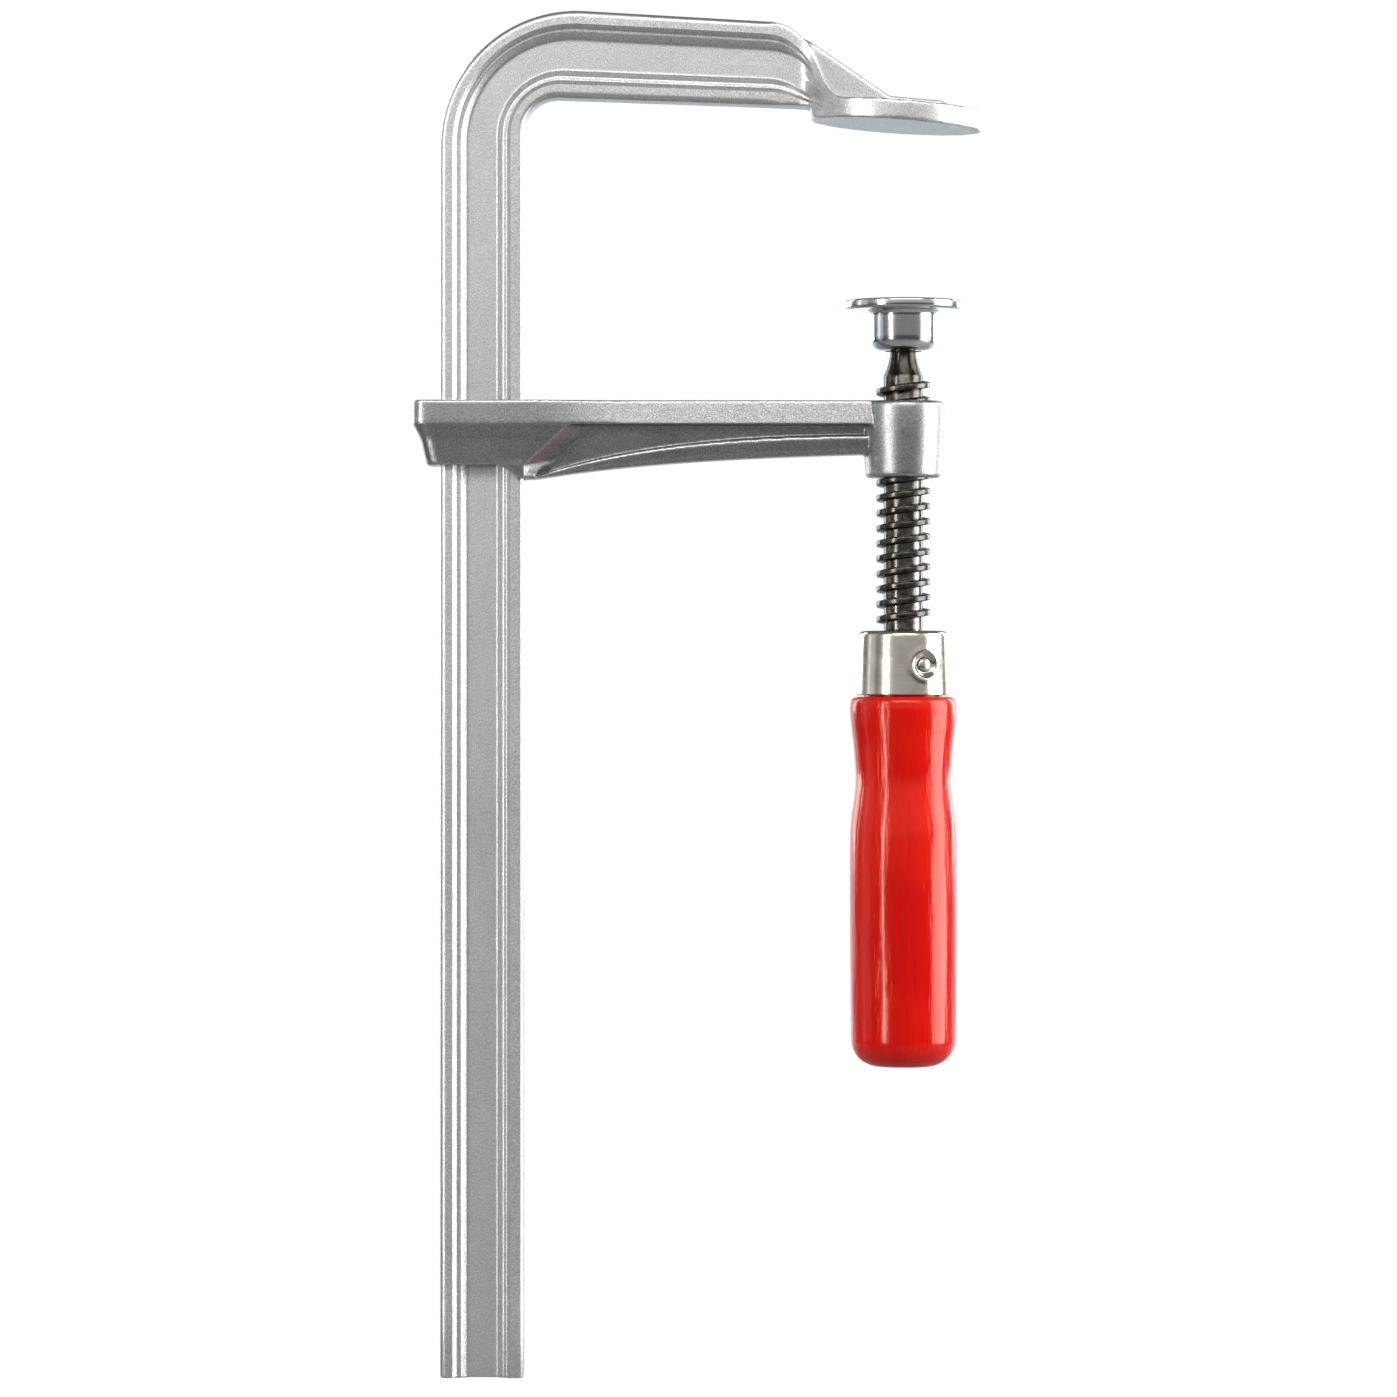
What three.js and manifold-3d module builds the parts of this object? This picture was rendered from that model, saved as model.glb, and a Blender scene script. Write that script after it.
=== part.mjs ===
// All-steel F clamp: a rail forged in one piece with its fixed jaw, a sliding arm, and a screw with
// a swivelling pressure plate and a turned wooden handle.
//
// Millimetres. +Z runs up the rail and +X from the rail to the jaw's tip. The origin is the centre
// of the fixed jaw's clamping face, where the screw's axis meets it.

import * as THREE from 'three';
import { ParametricGeometry } from 'three/addons/geometries/ParametricGeometry.js';
import { mergeVertices } from 'three/addons/utils/BufferGeometryUtils.js';
import Module from 'manifold-3d';

const wasm = await Module();
wasm.setup();

// ---------------------------------------------------------------- driving dimensions

const degree = Math.PI / 180;
const gap = 0.35; // clearance between pieces that slide, turn or rest on each other
const roundSteps = 32; // facets round a turned piece

const throatDepth = 100; // rail's inner edge to the screw's axis
const railDrop = 329.6; // clamping face to the rail's lower end
const railWidth = 22;
const railThickness = 10.5;
const railCorner = 1; // rounding of the lower end's corners

const upperGroove = { margin: 4.5, slope: 1.1, depth: 1.1 }; // shallow step of each rail groove
const floorGroove = { margin: 7.1, slope: 1.6, depth: 1.5 }; // deeper channel inside it

const innerBendRadius = 9;
const outerBendRadius = 36;
const fixedArmHeight = 22.9;
const fixedArmUnderside = 7.3; // clamping face to the fixed arm's lower edge, at the bend
const fixedArmTopSlope = 3.3 * degree;
const fixedArmUnderSlope = 2 * degree;

const jawLength = 45; // along X
const jawWidth = 40; // along Y
const jawThickness = 5.3;
const jawCentre = -1.9; // middle of the oval jaw, from the screw's axis
const jawSlant = 4 * degree; // the tip stands lower, and comes square under load
const jawNeckHeight = 20.3; // where the arm's top edge passes the jaw's back end
const jawNeckRun = 11.5; // how far back from there the top edge starts to dip
const gussetThickness = 5.6;
const gussetFoot = -3.6; // where the gusset's slant ends
const gussetRidge = 2; // low rib that goes on from the gusset
const gussetRidgeEnd = 10;

const opening = 72.4; // clamping face to the top of the sliding arm
const collarWall = 4.4; // in front of and behind the rail
const collarBack = 6.8; // behind the rail's outer edge
const collarHeight = 17;
const collarTaper = 3.6; // how much shorter the collar's lower end is
const collarCorner = 4;
const slidingFlangeHeight = 6.4;
const slidingFlangeWidth = 14;
const slidingWebThickness = 6;
const slidingRibWidth = 10;
const slidingRibHeight = 4.8;
const noseDrop = 3.6; // how far the nose under the arm's root hangs below the collar
const noseReach = 3.4; // rail's inner edge to the nose's lowest point
const armTipHeight = 14.1; // height of the arm where it meets the boss

const bossTopRadius = 10.6;
const bossBottomRadius = 9.7;
const bossHeight = 20.2;
const bossRounding = 1.3;

const threadRadius = 7.1;
const threadRoot = 5.2;
const threadPitch = 4;
const threadCrest = 1.3; // axial width of the ridge at its crest
const threadBase = 2.1; // and at its root
const threadLength = 66.6;
const threadSteps = 20; // facets in one turn

const plateHeight = 26.5; // top of the pressure plate above the top of the sliding arm
const plateRadius = 15.55;
const plateThickness = 2.5;
const plateEdge = 0.5;
const plateDimpleRadius = 3;
const plateDimpleDepth = 0.8;
const socketRoof = 2.4; // metal between the plate's top face and its socket
const cupWall = 1.8; // outside the ring's groove
const cupCorner = 3.2;
const cupLip = 0.9; // thickness of the lip that holds the ring in

const ballRadius = 5.3;
const ballFlatRadius = 2.6; // of the flat on top of the ball
const neckRadius = 3.3;
const neckLength = 12.4; // ball's centre to the full core

const plateTilt = 10 * degree; // how far the plate swivels either way
const ringWire = 0.6; // radius of the ring's wire
const ringDrop = 2.8; // ball's centre to the ring's plane
const ringSplit = 1.6; // open gap of the split ring

const ferruleHeight = 17;
const ferruleTopRadius = 11.9;
const ferruleBottomRadius = 12.5;
const ferruleWall = 1;
const ferruleRounding = 1.5;

const handleLength = 97.5;
const handleRadius = 14.1;
const handleWaistRadius = 12.6;
const handleWaist = 22; // handle's shoulder to its waist
const handleBulge = 36; // and to where it is full again
const handleEndRounding = 7.3;
const tenonRadius = 10.4;

const tangRadius = 5;
const tangLength = 72; // from the ferrule's top down into the wood
const pinRadius = 1.7;
const pinDrop = 9; // ferrule's top to the pin's axis
const pinAngle = 27 * degree; // turned from the front towards the jaw's tip
const pinRecess = 0.7; // how far each end stays inside the ferrule's face

// ---------------------------------------------------------------- derived places

const railInner = -throatDepth;
const railOuter = railInner - railWidth;
const railHalf = railThickness / 2;
const innerBend = { x: railInner + innerBendRadius, z: fixedArmUnderside - innerBendRadius };
const outerBend = {
  x: railOuter + outerBendRadius,
  z: fixedArmUnderside + fixedArmHeight - outerBendRadius,
};
const jawBack = jawCentre - jawLength / 2;
const jawTip = jawCentre + jawLength / 2;
const armShoulder = jawBack - jawNeckRun;

const armTop = -opening;
const armCollarBottom = armTop - collarHeight;
const collarOuter = railOuter - gap - collarBack;
const collarHalf = railHalf + gap + collarWall;
const bossBottom = armTop - bossHeight;
const nose = { x: railInner + noseReach, z: armCollarBottom - noseDrop };

const plateTop = armTop + plateHeight;
const ballFlat = Math.sqrt(ballRadius ** 2 - ballFlatRadius ** 2); // centre to flat
const socketRadius = ballRadius + gap;
const ceiling = plateTop - socketRoof;
const ballCentre = ceiling - 2 * gap - ballFlat;

// the ring's wire just clears the ball, and its groove clears the ring at either end of the tilt
const ringRadius = Math.sqrt((ballRadius + ringWire + gap) ** 2 - ringDrop ** 2);
const ringHeight = ballCentre - ringDrop;
const ringSwing = ringRadius * Math.sin(plateTilt) + ringWire + gap;
const ringMiddle = ballCentre - ringDrop * Math.cos(plateTilt);
const grooveRadius = ringRadius + ringDrop * Math.sin(plateTilt) + ringWire + gap;
const cupRadius = grooveRadius + cupWall;
const cupMouth = ringMiddle - ringSwing - cupLip;
const mouthRadius = neckRadius + (ballCentre - cupMouth) * Math.sin(plateTilt) + 2 * gap;

const threadTop = ballCentre - neckLength;
const threadBottom = threadTop - threadLength;

const ferruleTop = threadBottom - gap;
const ferruleBottom = ferruleTop - ferruleHeight;
const handleShoulder = ferruleBottom - gap;
const handleEnd = handleShoulder - handleLength;
const tangEnd = ferruleTop - tangLength;
const pinHeight = ferruleTop - pinDrop;
const pinDirection = new THREE.Vector3(Math.sin(pinAngle), -Math.cos(pinAngle), 0);

// heights of the sloping edges of the fixed arm and jaw at a place along X
const armTopEdge = (x) => {
  const start = outerBend.x + outerBendRadius * Math.sin(fixedArmTopSlope);
  const height = outerBend.z + outerBendRadius * Math.cos(fixedArmTopSlope);
  return height - (x - start) * Math.tan(fixedArmTopSlope);
};
const armUnderEdge = (x) => {
  const start = innerBend.x + innerBendRadius * Math.sin(fixedArmUnderSlope);
  const height = innerBend.z + innerBendRadius * Math.cos(fixedArmUnderSlope);
  return height - (x - start) * Math.tan(fixedArmUnderSlope);
};
const jawFace = (x) => -x * Math.tan(jawSlant);
const jawTopFace = (x) => jawFace(x) + jawThickness / Math.cos(jawSlant);

// ---------------------------------------------------------------- solids

/** Turns a closed three.js geometry into a solid that can be joined and cut. */
function solid(geometry) {
  const bare = geometry.index ? geometry.toNonIndexed() : geometry.clone();
  bare.deleteAttribute('normal');
  bare.deleteAttribute('uv');
  const merged = mergeVertices(bare, 1e-4);
  const corners = merged.index.array;
  const faces = [];
  for (let i = 0; i < corners.length; i += 3) {
    const [a, b, c] = [corners[i], corners[i + 1], corners[i + 2]];
    if (a !== b && b !== c && c !== a) faces.push(a, b, c);
  }
  const mesh = new wasm.Mesh({
    numProp: 3,
    vertProperties: new Float32Array(merged.attributes.position.array),
    triVerts: new Uint32Array(faces),
  });
  return new wasm.Manifold(mesh);
}

/** Turns a solid back into a three.js geometry. */
function geometryOf(body) {
  const mesh = body.getMesh();
  const geometry = new THREE.BufferGeometry();
  geometry.setAttribute('position', new THREE.BufferAttribute(mesh.vertProperties, 3));
  geometry.setIndex(new THREE.BufferAttribute(mesh.triVerts, 1));
  geometry.computeVertexNormals();
  return geometry;
}

/** Outline drawn in X and Z, as thick as width along Y and centred on the clamp's middle plane. */
function sideways(shape, width, curveSegments = 10) {
  const geometry = new THREE.ExtrudeGeometry(shape, { depth: width, bevelEnabled: false, curveSegments });
  geometry.translate(0, 0, -width / 2);
  geometry.rotateX(Math.PI / 2);
  return solid(geometry);
}

/** Outline drawn in X and Y, standing between two heights. */
function upright(shape, bottom, top, curveSegments = 8) {
  const geometry = new THREE.ExtrudeGeometry(shape, {
    depth: top - bottom,
    bevelEnabled: false,
    curveSegments,
  });
  geometry.translate(0, 0, bottom);
  return solid(geometry);
}

/** Profile of [radius, height] points, turned round the screw's axis. */
function turned(profile, segments = roundSteps) {
  const points = profile.map(([radius, height]) => new THREE.Vector2(radius, height));
  if (THREE.ShapeUtils.area(points) < 0) points.reverse();
  const geometry = new THREE.LatheGeometry(points, segments);
  geometry.rotateX(Math.PI / 2);
  return solid(geometry);
}

/** Points on a round corner of a turned profile, from one angle to another. */
function arcPoints(radius, height, size, from, to, steps) {
  return Array.from({ length: steps + 1 }, (_, i) => {
    const angle = from + ((to - from) * i) / steps;
    return [radius + size * Math.cos(angle), height + size * Math.sin(angle)];
  });
}

/** Right-hand thread ridge round the screw's axis; it fades into the core over half a turn. */
function threadRidge(bottom, top, grow = 0) {
  const step = threadPitch / threadSteps; // whole steps keep the ridge's facets on the core's
  const start = Math.ceil(bottom / step) * step;
  const steps = Math.floor((top - start) / step);
  const turns = steps / threadSteps;
  const rootRadius = threadRoot - 1;
  const fade = 0.5;
  const flank = (threadBase - threadCrest) / 2 / (threadRadius - threadRoot);
  const half = (radius) => threadCrest / 2 + grow + (threadRadius - radius) * flank;
  const place = (u, v, target) => {
    const turn = u * turns;
    const height = THREE.MathUtils.clamp(Math.min(turn, turns - turn) / fade, 0, 1);
    const crest = rootRadius + (threadRadius + grow - rootRadius) * height;
    const corner = Math.round(v * 4) % 4;
    const radius = corner === 0 || corner === 3 ? rootRadius : crest;
    const side = corner < 2 ? -1 : 1;
    const width = half(radius) * Math.min(1, height * 4);
    const z = start + turn * threadPitch;
    const angle = (z / threadPitch) * 2 * Math.PI;
    target.set(radius * Math.cos(angle), radius * Math.sin(angle), z + side * width);
  };
  return solid(new ParametricGeometry(place, steps, 4));
}

/** Round bar through the handle's top along the pin's direction. */
function crossBar(radius, length) {
  const geometry = new THREE.CylinderGeometry(radius, radius, length, 16);
  geometry.applyQuaternion(
    new THREE.Quaternion().setFromUnitVectors(new THREE.Vector3(0, 1, 0), pinDirection),
  );
  geometry.translate(0, 0, pinHeight);
  return solid(geometry);
}

// ---------------------------------------------------------------- rail with fixed arm and jaw

/** Side view of the rail, its bend, the fixed arm and the slanted jaw, without the gusset. */
function railOutline() {
  const bottom = -railDrop;
  const shape = new THREE.Shape();
  shape.moveTo(railOuter, bottom + railCorner);
  shape.lineTo(railOuter, outerBend.z);
  shape.absarc(
    outerBend.x, outerBend.z, outerBendRadius, Math.PI, Math.PI / 2 - fixedArmTopSlope, true,
  );
  shape.lineTo(armShoulder, armTopEdge(armShoulder));
  const neck = { x: jawBack, z: jawNeckHeight };
  const landing = { x: jawBack + jawLength / 5, z: jawTopFace(jawBack + jawLength / 5) };
  const neckPull = jawNeckRun / 2;
  shape.bezierCurveTo(
    armShoulder + neckPull, armTopEdge(armShoulder + neckPull),
    neck.x - neckPull * 0.4, neck.z + neckPull * 0.6,
    neck.x, neck.z,
  );
  shape.bezierCurveTo(
    neck.x + neckPull * 0.5, neck.z - neckPull,
    landing.x - neckPull, jawTopFace(landing.x - neckPull),
    landing.x, landing.z,
  );
  shape.lineTo(jawTip, jawTopFace(jawTip));
  shape.lineTo(jawTip, jawFace(jawTip));
  shape.lineTo(jawBack, jawFace(jawBack));
  shape.lineTo(jawBack, armUnderEdge(jawBack));
  const start = innerBend.x + innerBendRadius * Math.sin(fixedArmUnderSlope);
  shape.lineTo(start, armUnderEdge(start));
  shape.absarc(
    innerBend.x, innerBend.z, innerBendRadius, Math.PI / 2 - fixedArmUnderSlope, Math.PI, false,
  );
  shape.lineTo(railInner, bottom + railCorner);
  shape.quadraticCurveTo(railInner, bottom, railInner - railCorner, bottom);
  shape.lineTo(railOuter + railCorner, bottom);
  shape.quadraticCurveTo(railOuter, bottom, railOuter, bottom + railCorner);
  return shape;
}

/** Plan of the bar that widens into the oval jaw. */
function railPlan() {
  const meet = Math.asin(railThickness / jawWidth);
  const shape = new THREE.Shape();
  shape.moveTo(railOuter - railWidth, -railHalf);
  shape.lineTo(jawCentre - (jawLength / 2) * Math.cos(meet), -railHalf);
  shape.absellipse(
    jawCentre, 0, jawLength / 2, jawWidth / 2, Math.PI + meet, 3 * Math.PI - meet, false, 0,
  );
  shape.lineTo(railOuter - railWidth, railHalf);
  return shape;
}

/** Floor of a groove that keeps a margin to the bar's edges and closes at the jaw's neck. */
function grooveOutline(margin) {
  const below = -railDrop - railWidth;
  const endX = jawBack + 3.5 - margin / 2;
  const endTop = jawNeckHeight - 4.3 - margin * 0.6;
  const endBottom = armUnderEdge(jawBack) + margin * 0.4;
  const dip = armShoulder + jawNeckRun * 0.55;
  const topEdge = (x) => armTopEdge(x) - margin / Math.cos(fixedArmTopSlope);
  const underEdge = (x) => armUnderEdge(x) + margin / Math.cos(fixedArmUnderSlope);
  const shape = new THREE.Shape();
  shape.moveTo(railOuter + margin, below);
  shape.lineTo(railOuter + margin, outerBend.z);
  shape.absarc(
    outerBend.x, outerBend.z, outerBendRadius - margin, Math.PI, Math.PI / 2 - fixedArmTopSlope, true,
  );
  shape.lineTo(armShoulder, topEdge(armShoulder));
  shape.quadraticCurveTo(dip, topEdge(dip), endX, endTop);
  shape.quadraticCurveTo(endX + 1, (endTop + endBottom) / 2, endX, endBottom);
  shape.quadraticCurveTo(dip, underEdge(dip), armShoulder, underEdge(armShoulder));
  shape.absarc(
    innerBend.x, innerBend.z, innerBendRadius + margin, Math.PI / 2 - fixedArmUnderSlope, Math.PI, false,
  );
  shape.lineTo(railInner - margin, below);
  return shape;
}

/** Cutter for one step of the groove, with sloped walls, on the front or the back of the bar. */
function grooveCutter(groove, floorDepth, side) {
  const geometry = new THREE.ExtrudeGeometry(grooveOutline(groove.margin), {
    depth: railThickness,
    bevelEnabled: true,
    bevelThickness: groove.depth,
    bevelSize: groove.slope,
    bevelSegments: 1,
    curveSegments: 10,
  });
  geometry.translate(0, 0, -railThickness / 2);
  const reach = railThickness / 2 + groove.depth; // from the cutter's middle to its floor
  geometry.translate(0, 0, side * (railHalf - floorDepth + reach));
  geometry.rotateX(Math.PI / 2);
  return solid(geometry);
}

/** Web that stiffens the jaw's root, with the low rib that runs out on the jaw. */
function gusset() {
  const back = armShoulder + 6;
  const ribTop = (x) => jawTopFace(x) + gussetRidge;
  const shape = new THREE.Shape();
  shape.moveTo(back, armUnderEdge(back) + railWidth / 3);
  shape.lineTo(back, armTopEdge(back) - 3);
  shape.lineTo(jawBack, jawNeckHeight + 1);
  shape.lineTo(gussetFoot, ribTop(gussetFoot));
  shape.lineTo(gussetRidgeEnd, ribTop(gussetRidgeEnd));
  shape.lineTo(gussetRidgeEnd + gussetRidge, jawTopFace(gussetRidgeEnd) - 1);
  shape.lineTo(jawBack, jawTopFace(jawBack) - 1);
  return sideways(shape, gussetThickness);
}

function rail() {
  const floorDepth = upperGroove.depth + floorGroove.depth;
  let body = sideways(railOutline(), jawWidth);
  body = body.intersect(upright(railPlan(), -railDrop - railWidth, outerBendRadius * 2, 14));
  for (const side of [1, -1]) {
    body = body.subtract(grooveCutter(upperGroove, upperGroove.depth, side));
    body = body.subtract(grooveCutter(floorGroove, floorDepth, side));
  }
  return body.add(gusset());
}

// ---------------------------------------------------------------- sliding arm

/** Plan of the collar round the rail, narrowing to a beam of the given half width. */
function armPlan(halfCollar, halfBeam, back) {
  const corner = Math.min(collarCorner, halfCollar - 1);
  const root = railInner + gap + collarWall;
  const slim = root + (halfCollar - halfBeam) * 2;
  const shape = new THREE.Shape();
  shape.moveTo(back, -halfCollar + corner);
  shape.quadraticCurveTo(back, -halfCollar, back + corner, -halfCollar);
  shape.lineTo(root, -halfCollar);
  shape.lineTo(slim, -halfBeam);
  shape.lineTo(0, -halfBeam);
  shape.lineTo(0, halfBeam);
  shape.lineTo(slim, halfBeam);
  shape.lineTo(root, halfCollar);
  shape.lineTo(back + corner, halfCollar);
  shape.quadraticCurveTo(back, halfCollar, back, halfCollar - corner);
  return shape;
}

/** Curve of the arm's lower edge, from the nose to the boss. */
function addLowerEdge(shape) {
  const tip = { x: -bossBottomRadius, z: armTop - armTipHeight };
  const bend = nose.x + (tip.x - nose.x) * 0.35;
  shape.quadraticCurveTo(bend, tip.z - (tip.z - nose.z) * 0.2, tip.x, tip.z);
  shape.lineTo(0, tip.z);
}

/** Side view of everything under the top flange. */
function lowerOutline() {
  const flangeBottom = armTop - slidingFlangeHeight + 0.5;
  const shape = new THREE.Shape();
  shape.moveTo(collarOuter + collarTaper / 2, flangeBottom);
  shape.lineTo(collarOuter + collarTaper, armCollarBottom);
  shape.lineTo(nose.x - 2.5 * noseReach, armCollarBottom);
  shape.quadraticCurveTo(nose.x - 1.6 * noseReach, armCollarBottom, nose.x - 1.15 * noseReach, nose.z);
  shape.lineTo(nose.x, nose.z);
  addLowerEdge(shape);
  shape.lineTo(0, flangeBottom);
  return shape;
}

/** Side view of the rib along the arm's lower edge, thinning out at the nose. */
function ribOutline() {
  const tip = { x: -bossBottomRadius, z: armTop - armTipHeight + slidingRibHeight };
  const bend = nose.x + (tip.x - nose.x) * 0.35;
  const shape = new THREE.Shape();
  shape.moveTo(nose.x, nose.z);
  addLowerEdge(shape);
  shape.lineTo(0, tip.z);
  shape.lineTo(tip.x, tip.z);
  shape.quadraticCurveTo(bend, tip.z, nose.x, nose.z + 0.3);
  return shape;
}

/** Round boss at the arm's end, before it is tapped. */
function bossBlank() {
  return turned([
    [0, bossBottom],
    [bossBottomRadius, bossBottom],
    [bossTopRadius, armTop - slidingFlangeHeight],
    [bossTopRadius, armTop - bossRounding],
    [bossTopRadius - bossRounding, armTop],
    [0, armTop],
  ]);
}

function slidingArm() {
  const slotHalf = railHalf + gap;
  const slot = new THREE.Shape();
  slot.moveTo(railOuter - gap, -slotHalf);
  slot.lineTo(railInner + gap, -slotHalf);
  slot.lineTo(railInner + gap, slotHalf);
  slot.lineTo(railOuter - gap, slotHalf);
  const past = threadPitch * 2;
  const flange = upright(
    armPlan(collarHalf, slidingFlangeWidth / 2, collarOuter), armTop - slidingFlangeHeight, armTop,
  );
  const lowerPlan = upright(
    armPlan(collarHalf - 1, slidingWebThickness / 2, collarOuter), bossBottom - past, armTop,
  );
  const lower = sideways(lowerOutline(), collarHalf * 2).intersect(lowerPlan);
  const tapped = turned([
    [0, bossBottom - past],
    [threadRoot + gap, bossBottom - past],
    [threadRoot + gap, armTop + past],
    [0, armTop + past],
  ], threadSteps).add(threadRidge(bossBottom - past, armTop + past, gap));
  return flange
    .add(lower)
    .add(sideways(ribOutline(), slidingRibWidth))
    .add(bossBlank())
    .subtract(upright(slot, bossBottom - past, armTop + past))
    .subtract(tapped);
}

// ---------------------------------------------------------------- screw

/** Ball, neck, core and tang, with the right-hand thread and the hole for the cross pin. */
function spindle() {
  const ballTop = ballCentre + ballFlat;
  const flatAngle = Math.asin(ballFlat / ballRadius);
  const neckAngle = -Math.acos(neckRadius / ballRadius);
  const neckCurve = new THREE.QuadraticBezierCurve(
    new THREE.Vector2(neckRadius, ballCentre + ballRadius * Math.sin(neckAngle)),
    new THREE.Vector2(neckRadius, threadTop + 4),
    new THREE.Vector2(threadRoot, threadTop),
  );
  const profile = [
    [0, ballTop],
    ...arcPoints(0, ballCentre, ballRadius, flatAngle, neckAngle, 10),
    ...neckCurve.getPoints(6).slice(1).map((point) => [point.x, point.y]),
    [threadRoot, threadBottom],
    [tangRadius, threadBottom],
    [tangRadius, tangEnd + 1],
    [tangRadius - 1, tangEnd],
    [0, tangEnd],
  ];
  return turned(profile, threadSteps)
    .add(threadRidge(threadBottom + threadBase, threadTop))
    .subtract(crossBar(pinRadius + gap, ferruleBottomRadius * 3));
}

/** Pressure plate: flat disc over a cup whose socket takes the ball and the split ring. */
function pressurePlate() {
  const grooveTop = ringMiddle + ringSwing;
  const ceilingAngle = Math.asin((ceiling - ballCentre) / socketRadius);
  const grooveAngle = Math.asin((grooveTop - ballCentre) / socketRadius);
  const under = plateTop - plateThickness;
  return turned([
    [0, ceiling],
    ...arcPoints(0, ballCentre, socketRadius, ceilingAngle, grooveAngle, 6),
    [grooveRadius, grooveTop],
    [grooveRadius, cupMouth + cupLip],
    [mouthRadius, cupMouth + cupLip],
    [mouthRadius, cupMouth],
    ...arcPoints(cupRadius - cupCorner, cupMouth + cupCorner, cupCorner, -Math.PI / 2, 0, 5),
    [cupRadius, under - plateEdge],
    [cupRadius + plateEdge, under],
    [plateRadius - plateEdge, under],
    [plateRadius, under + plateEdge],
    [plateRadius, plateTop - plateEdge],
    [plateRadius - plateEdge, plateTop],
    [plateDimpleRadius, plateTop],
    [0, plateTop - plateDimpleDepth],
  ]);
}

/** Split ring of spring wire that keeps the plate on the ball. */
function snapRing() {
  const geometry = new THREE.TorusGeometry(ringRadius, ringWire, 8, roundSteps);
  geometry.translate(0, 0, ringHeight);
  const split = new THREE.BoxGeometry(ringRadius * 2, ringSplit, ringWire * 4);
  split.translate(ringRadius, 0, ringHeight);
  return solid(geometry).subtract(solid(split));
}

// ---------------------------------------------------------------- handle

/** Pressed metal sleeve over the handle's tenon, rolled in round the tang. */
function ferrule() {
  const hole = tangRadius + gap;
  const innerTop = ferruleTopRadius - ferruleWall;
  const innerBottom = ferruleBottomRadius - ferruleWall;
  const roundingCentre = ferruleTopRadius - ferruleRounding;
  const rounding = arcPoints(
    roundingCentre, ferruleTop - ferruleRounding, ferruleRounding, 0, Math.PI / 2, 4,
  );
  return turned([
    [hole, ferruleTop - ferruleWall],
    [innerTop, ferruleTop - ferruleWall],
    [innerBottom, ferruleBottom],
    [ferruleBottomRadius, ferruleBottom],
    ...rounding,
    [hole, ferruleTop],
    [hole, ferruleTop - ferruleWall],
  ]).subtract(crossBar(pinRadius + gap, ferruleBottomRadius * 3));
}

/** Turned wooden grip with a tenon for the ferrule and a bore for the tang. */
function handle() {
  const shoulder = handleShoulder;
  const grip = new THREE.SplineCurve([
    new THREE.Vector2(handleRadius, shoulder - 2.5),
    new THREE.Vector2((handleRadius + handleWaistRadius) / 2, shoulder - handleWaist / 2),
    new THREE.Vector2(handleWaistRadius, shoulder - handleWaist),
    new THREE.Vector2(handleRadius, shoulder - handleBulge),
    new THREE.Vector2(handleRadius, handleEnd + handleEndRounding),
  ]);
  const end = arcPoints(
    handleRadius - handleEndRounding, handleEnd + handleEndRounding, handleEndRounding, 0, -Math.PI / 2, 6,
  );
  const bore = tangRadius + gap;
  const tenonTop = ferruleTop - ferruleWall - gap;
  return turned([
    [0, tangEnd - gap],
    [bore, tangEnd - gap],
    [bore, tenonTop],
    [tenonRadius, tenonTop],
    [tenonRadius, shoulder],
    [handleRadius - 1, shoulder],
    ...grip.getPoints(14).slice(0, -1).map((point) => [point.x, point.y]),
    ...end,
    [0, handleEnd],
  ]).subtract(crossBar(pinRadius + gap, ferruleBottomRadius * 3));
}

/** Pin through ferrule, wood and tang. */
function crossPin() {
  const share = pinDrop / ferruleHeight;
  const outside = ferruleTopRadius + (ferruleBottomRadius - ferruleTopRadius) * share;
  return crossBar(pinRadius, 2 * (outside - pinRecess));
}

// ---------------------------------------------------------------- assembly

const finishes = {
  zincForging: { color: 0x9a9b98, roughness: 0.42, metalness: 1 },
  burnishedSteel: { color: 0x2b2522, roughness: 0.3, metalness: 1 },
  brightZinc: { color: 0xc9cdd0, roughness: 0.15, metalness: 1 },
  springSteel: { color: 0x6f7376, roughness: 0.3, metalness: 1 },
  nickel: { color: 0xd8cfc0, roughness: 0.2, metalness: 1 },
  pinSteel: { color: 0xb4b2ae, roughness: 0.35, metalness: 1 },
  redLacquer: { color: 0xc81a0c, roughness: 0.22, metalness: 0 },
};

/** Names a solid and gives it its finish. */
function piece(name, body, finish) {
  const mesh = new THREE.Mesh(geometryOf(body), new THREE.MeshStandardMaterial(finishes[finish]));
  mesh.name = name;
  return mesh;
}

const clamp = new THREE.Group();
const screwGroup = new THREE.Group();
screwGroup.add(
  piece('spindle', spindle(), 'burnishedSteel'),
  piece('ferrule', ferrule(), 'nickel'),
  piece('cross_pin', crossPin(), 'pinSteel'),
  piece('handle', handle(), 'redLacquer'),
);
clamp.add(
  piece('rail', rail(), 'zincForging'),
  piece('sliding_arm', slidingArm(), 'zincForging'),
  piece('snap_ring', snapRing(), 'springSteel'),
  piece('pressure_plate', pressurePlate(), 'brightZinc'),
  screwGroup,
);

export default clamp;
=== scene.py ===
"""All-steel F clamp, dressed for its portrait.

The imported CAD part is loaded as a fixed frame, and each forging, turned part and grip is then
modelled again at full detail around it: one class for each sub-assembly, one for each finish.
Sizes inside the classes are in millimetres, and MM turns them into Blender's metres.
"""

import logging
import math
from collections.abc import Callable, Sequence
from dataclasses import dataclass
from enum import Enum

import bmesh
import bpy
import numpy as np
from mathutils import Matrix, Vector


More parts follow.
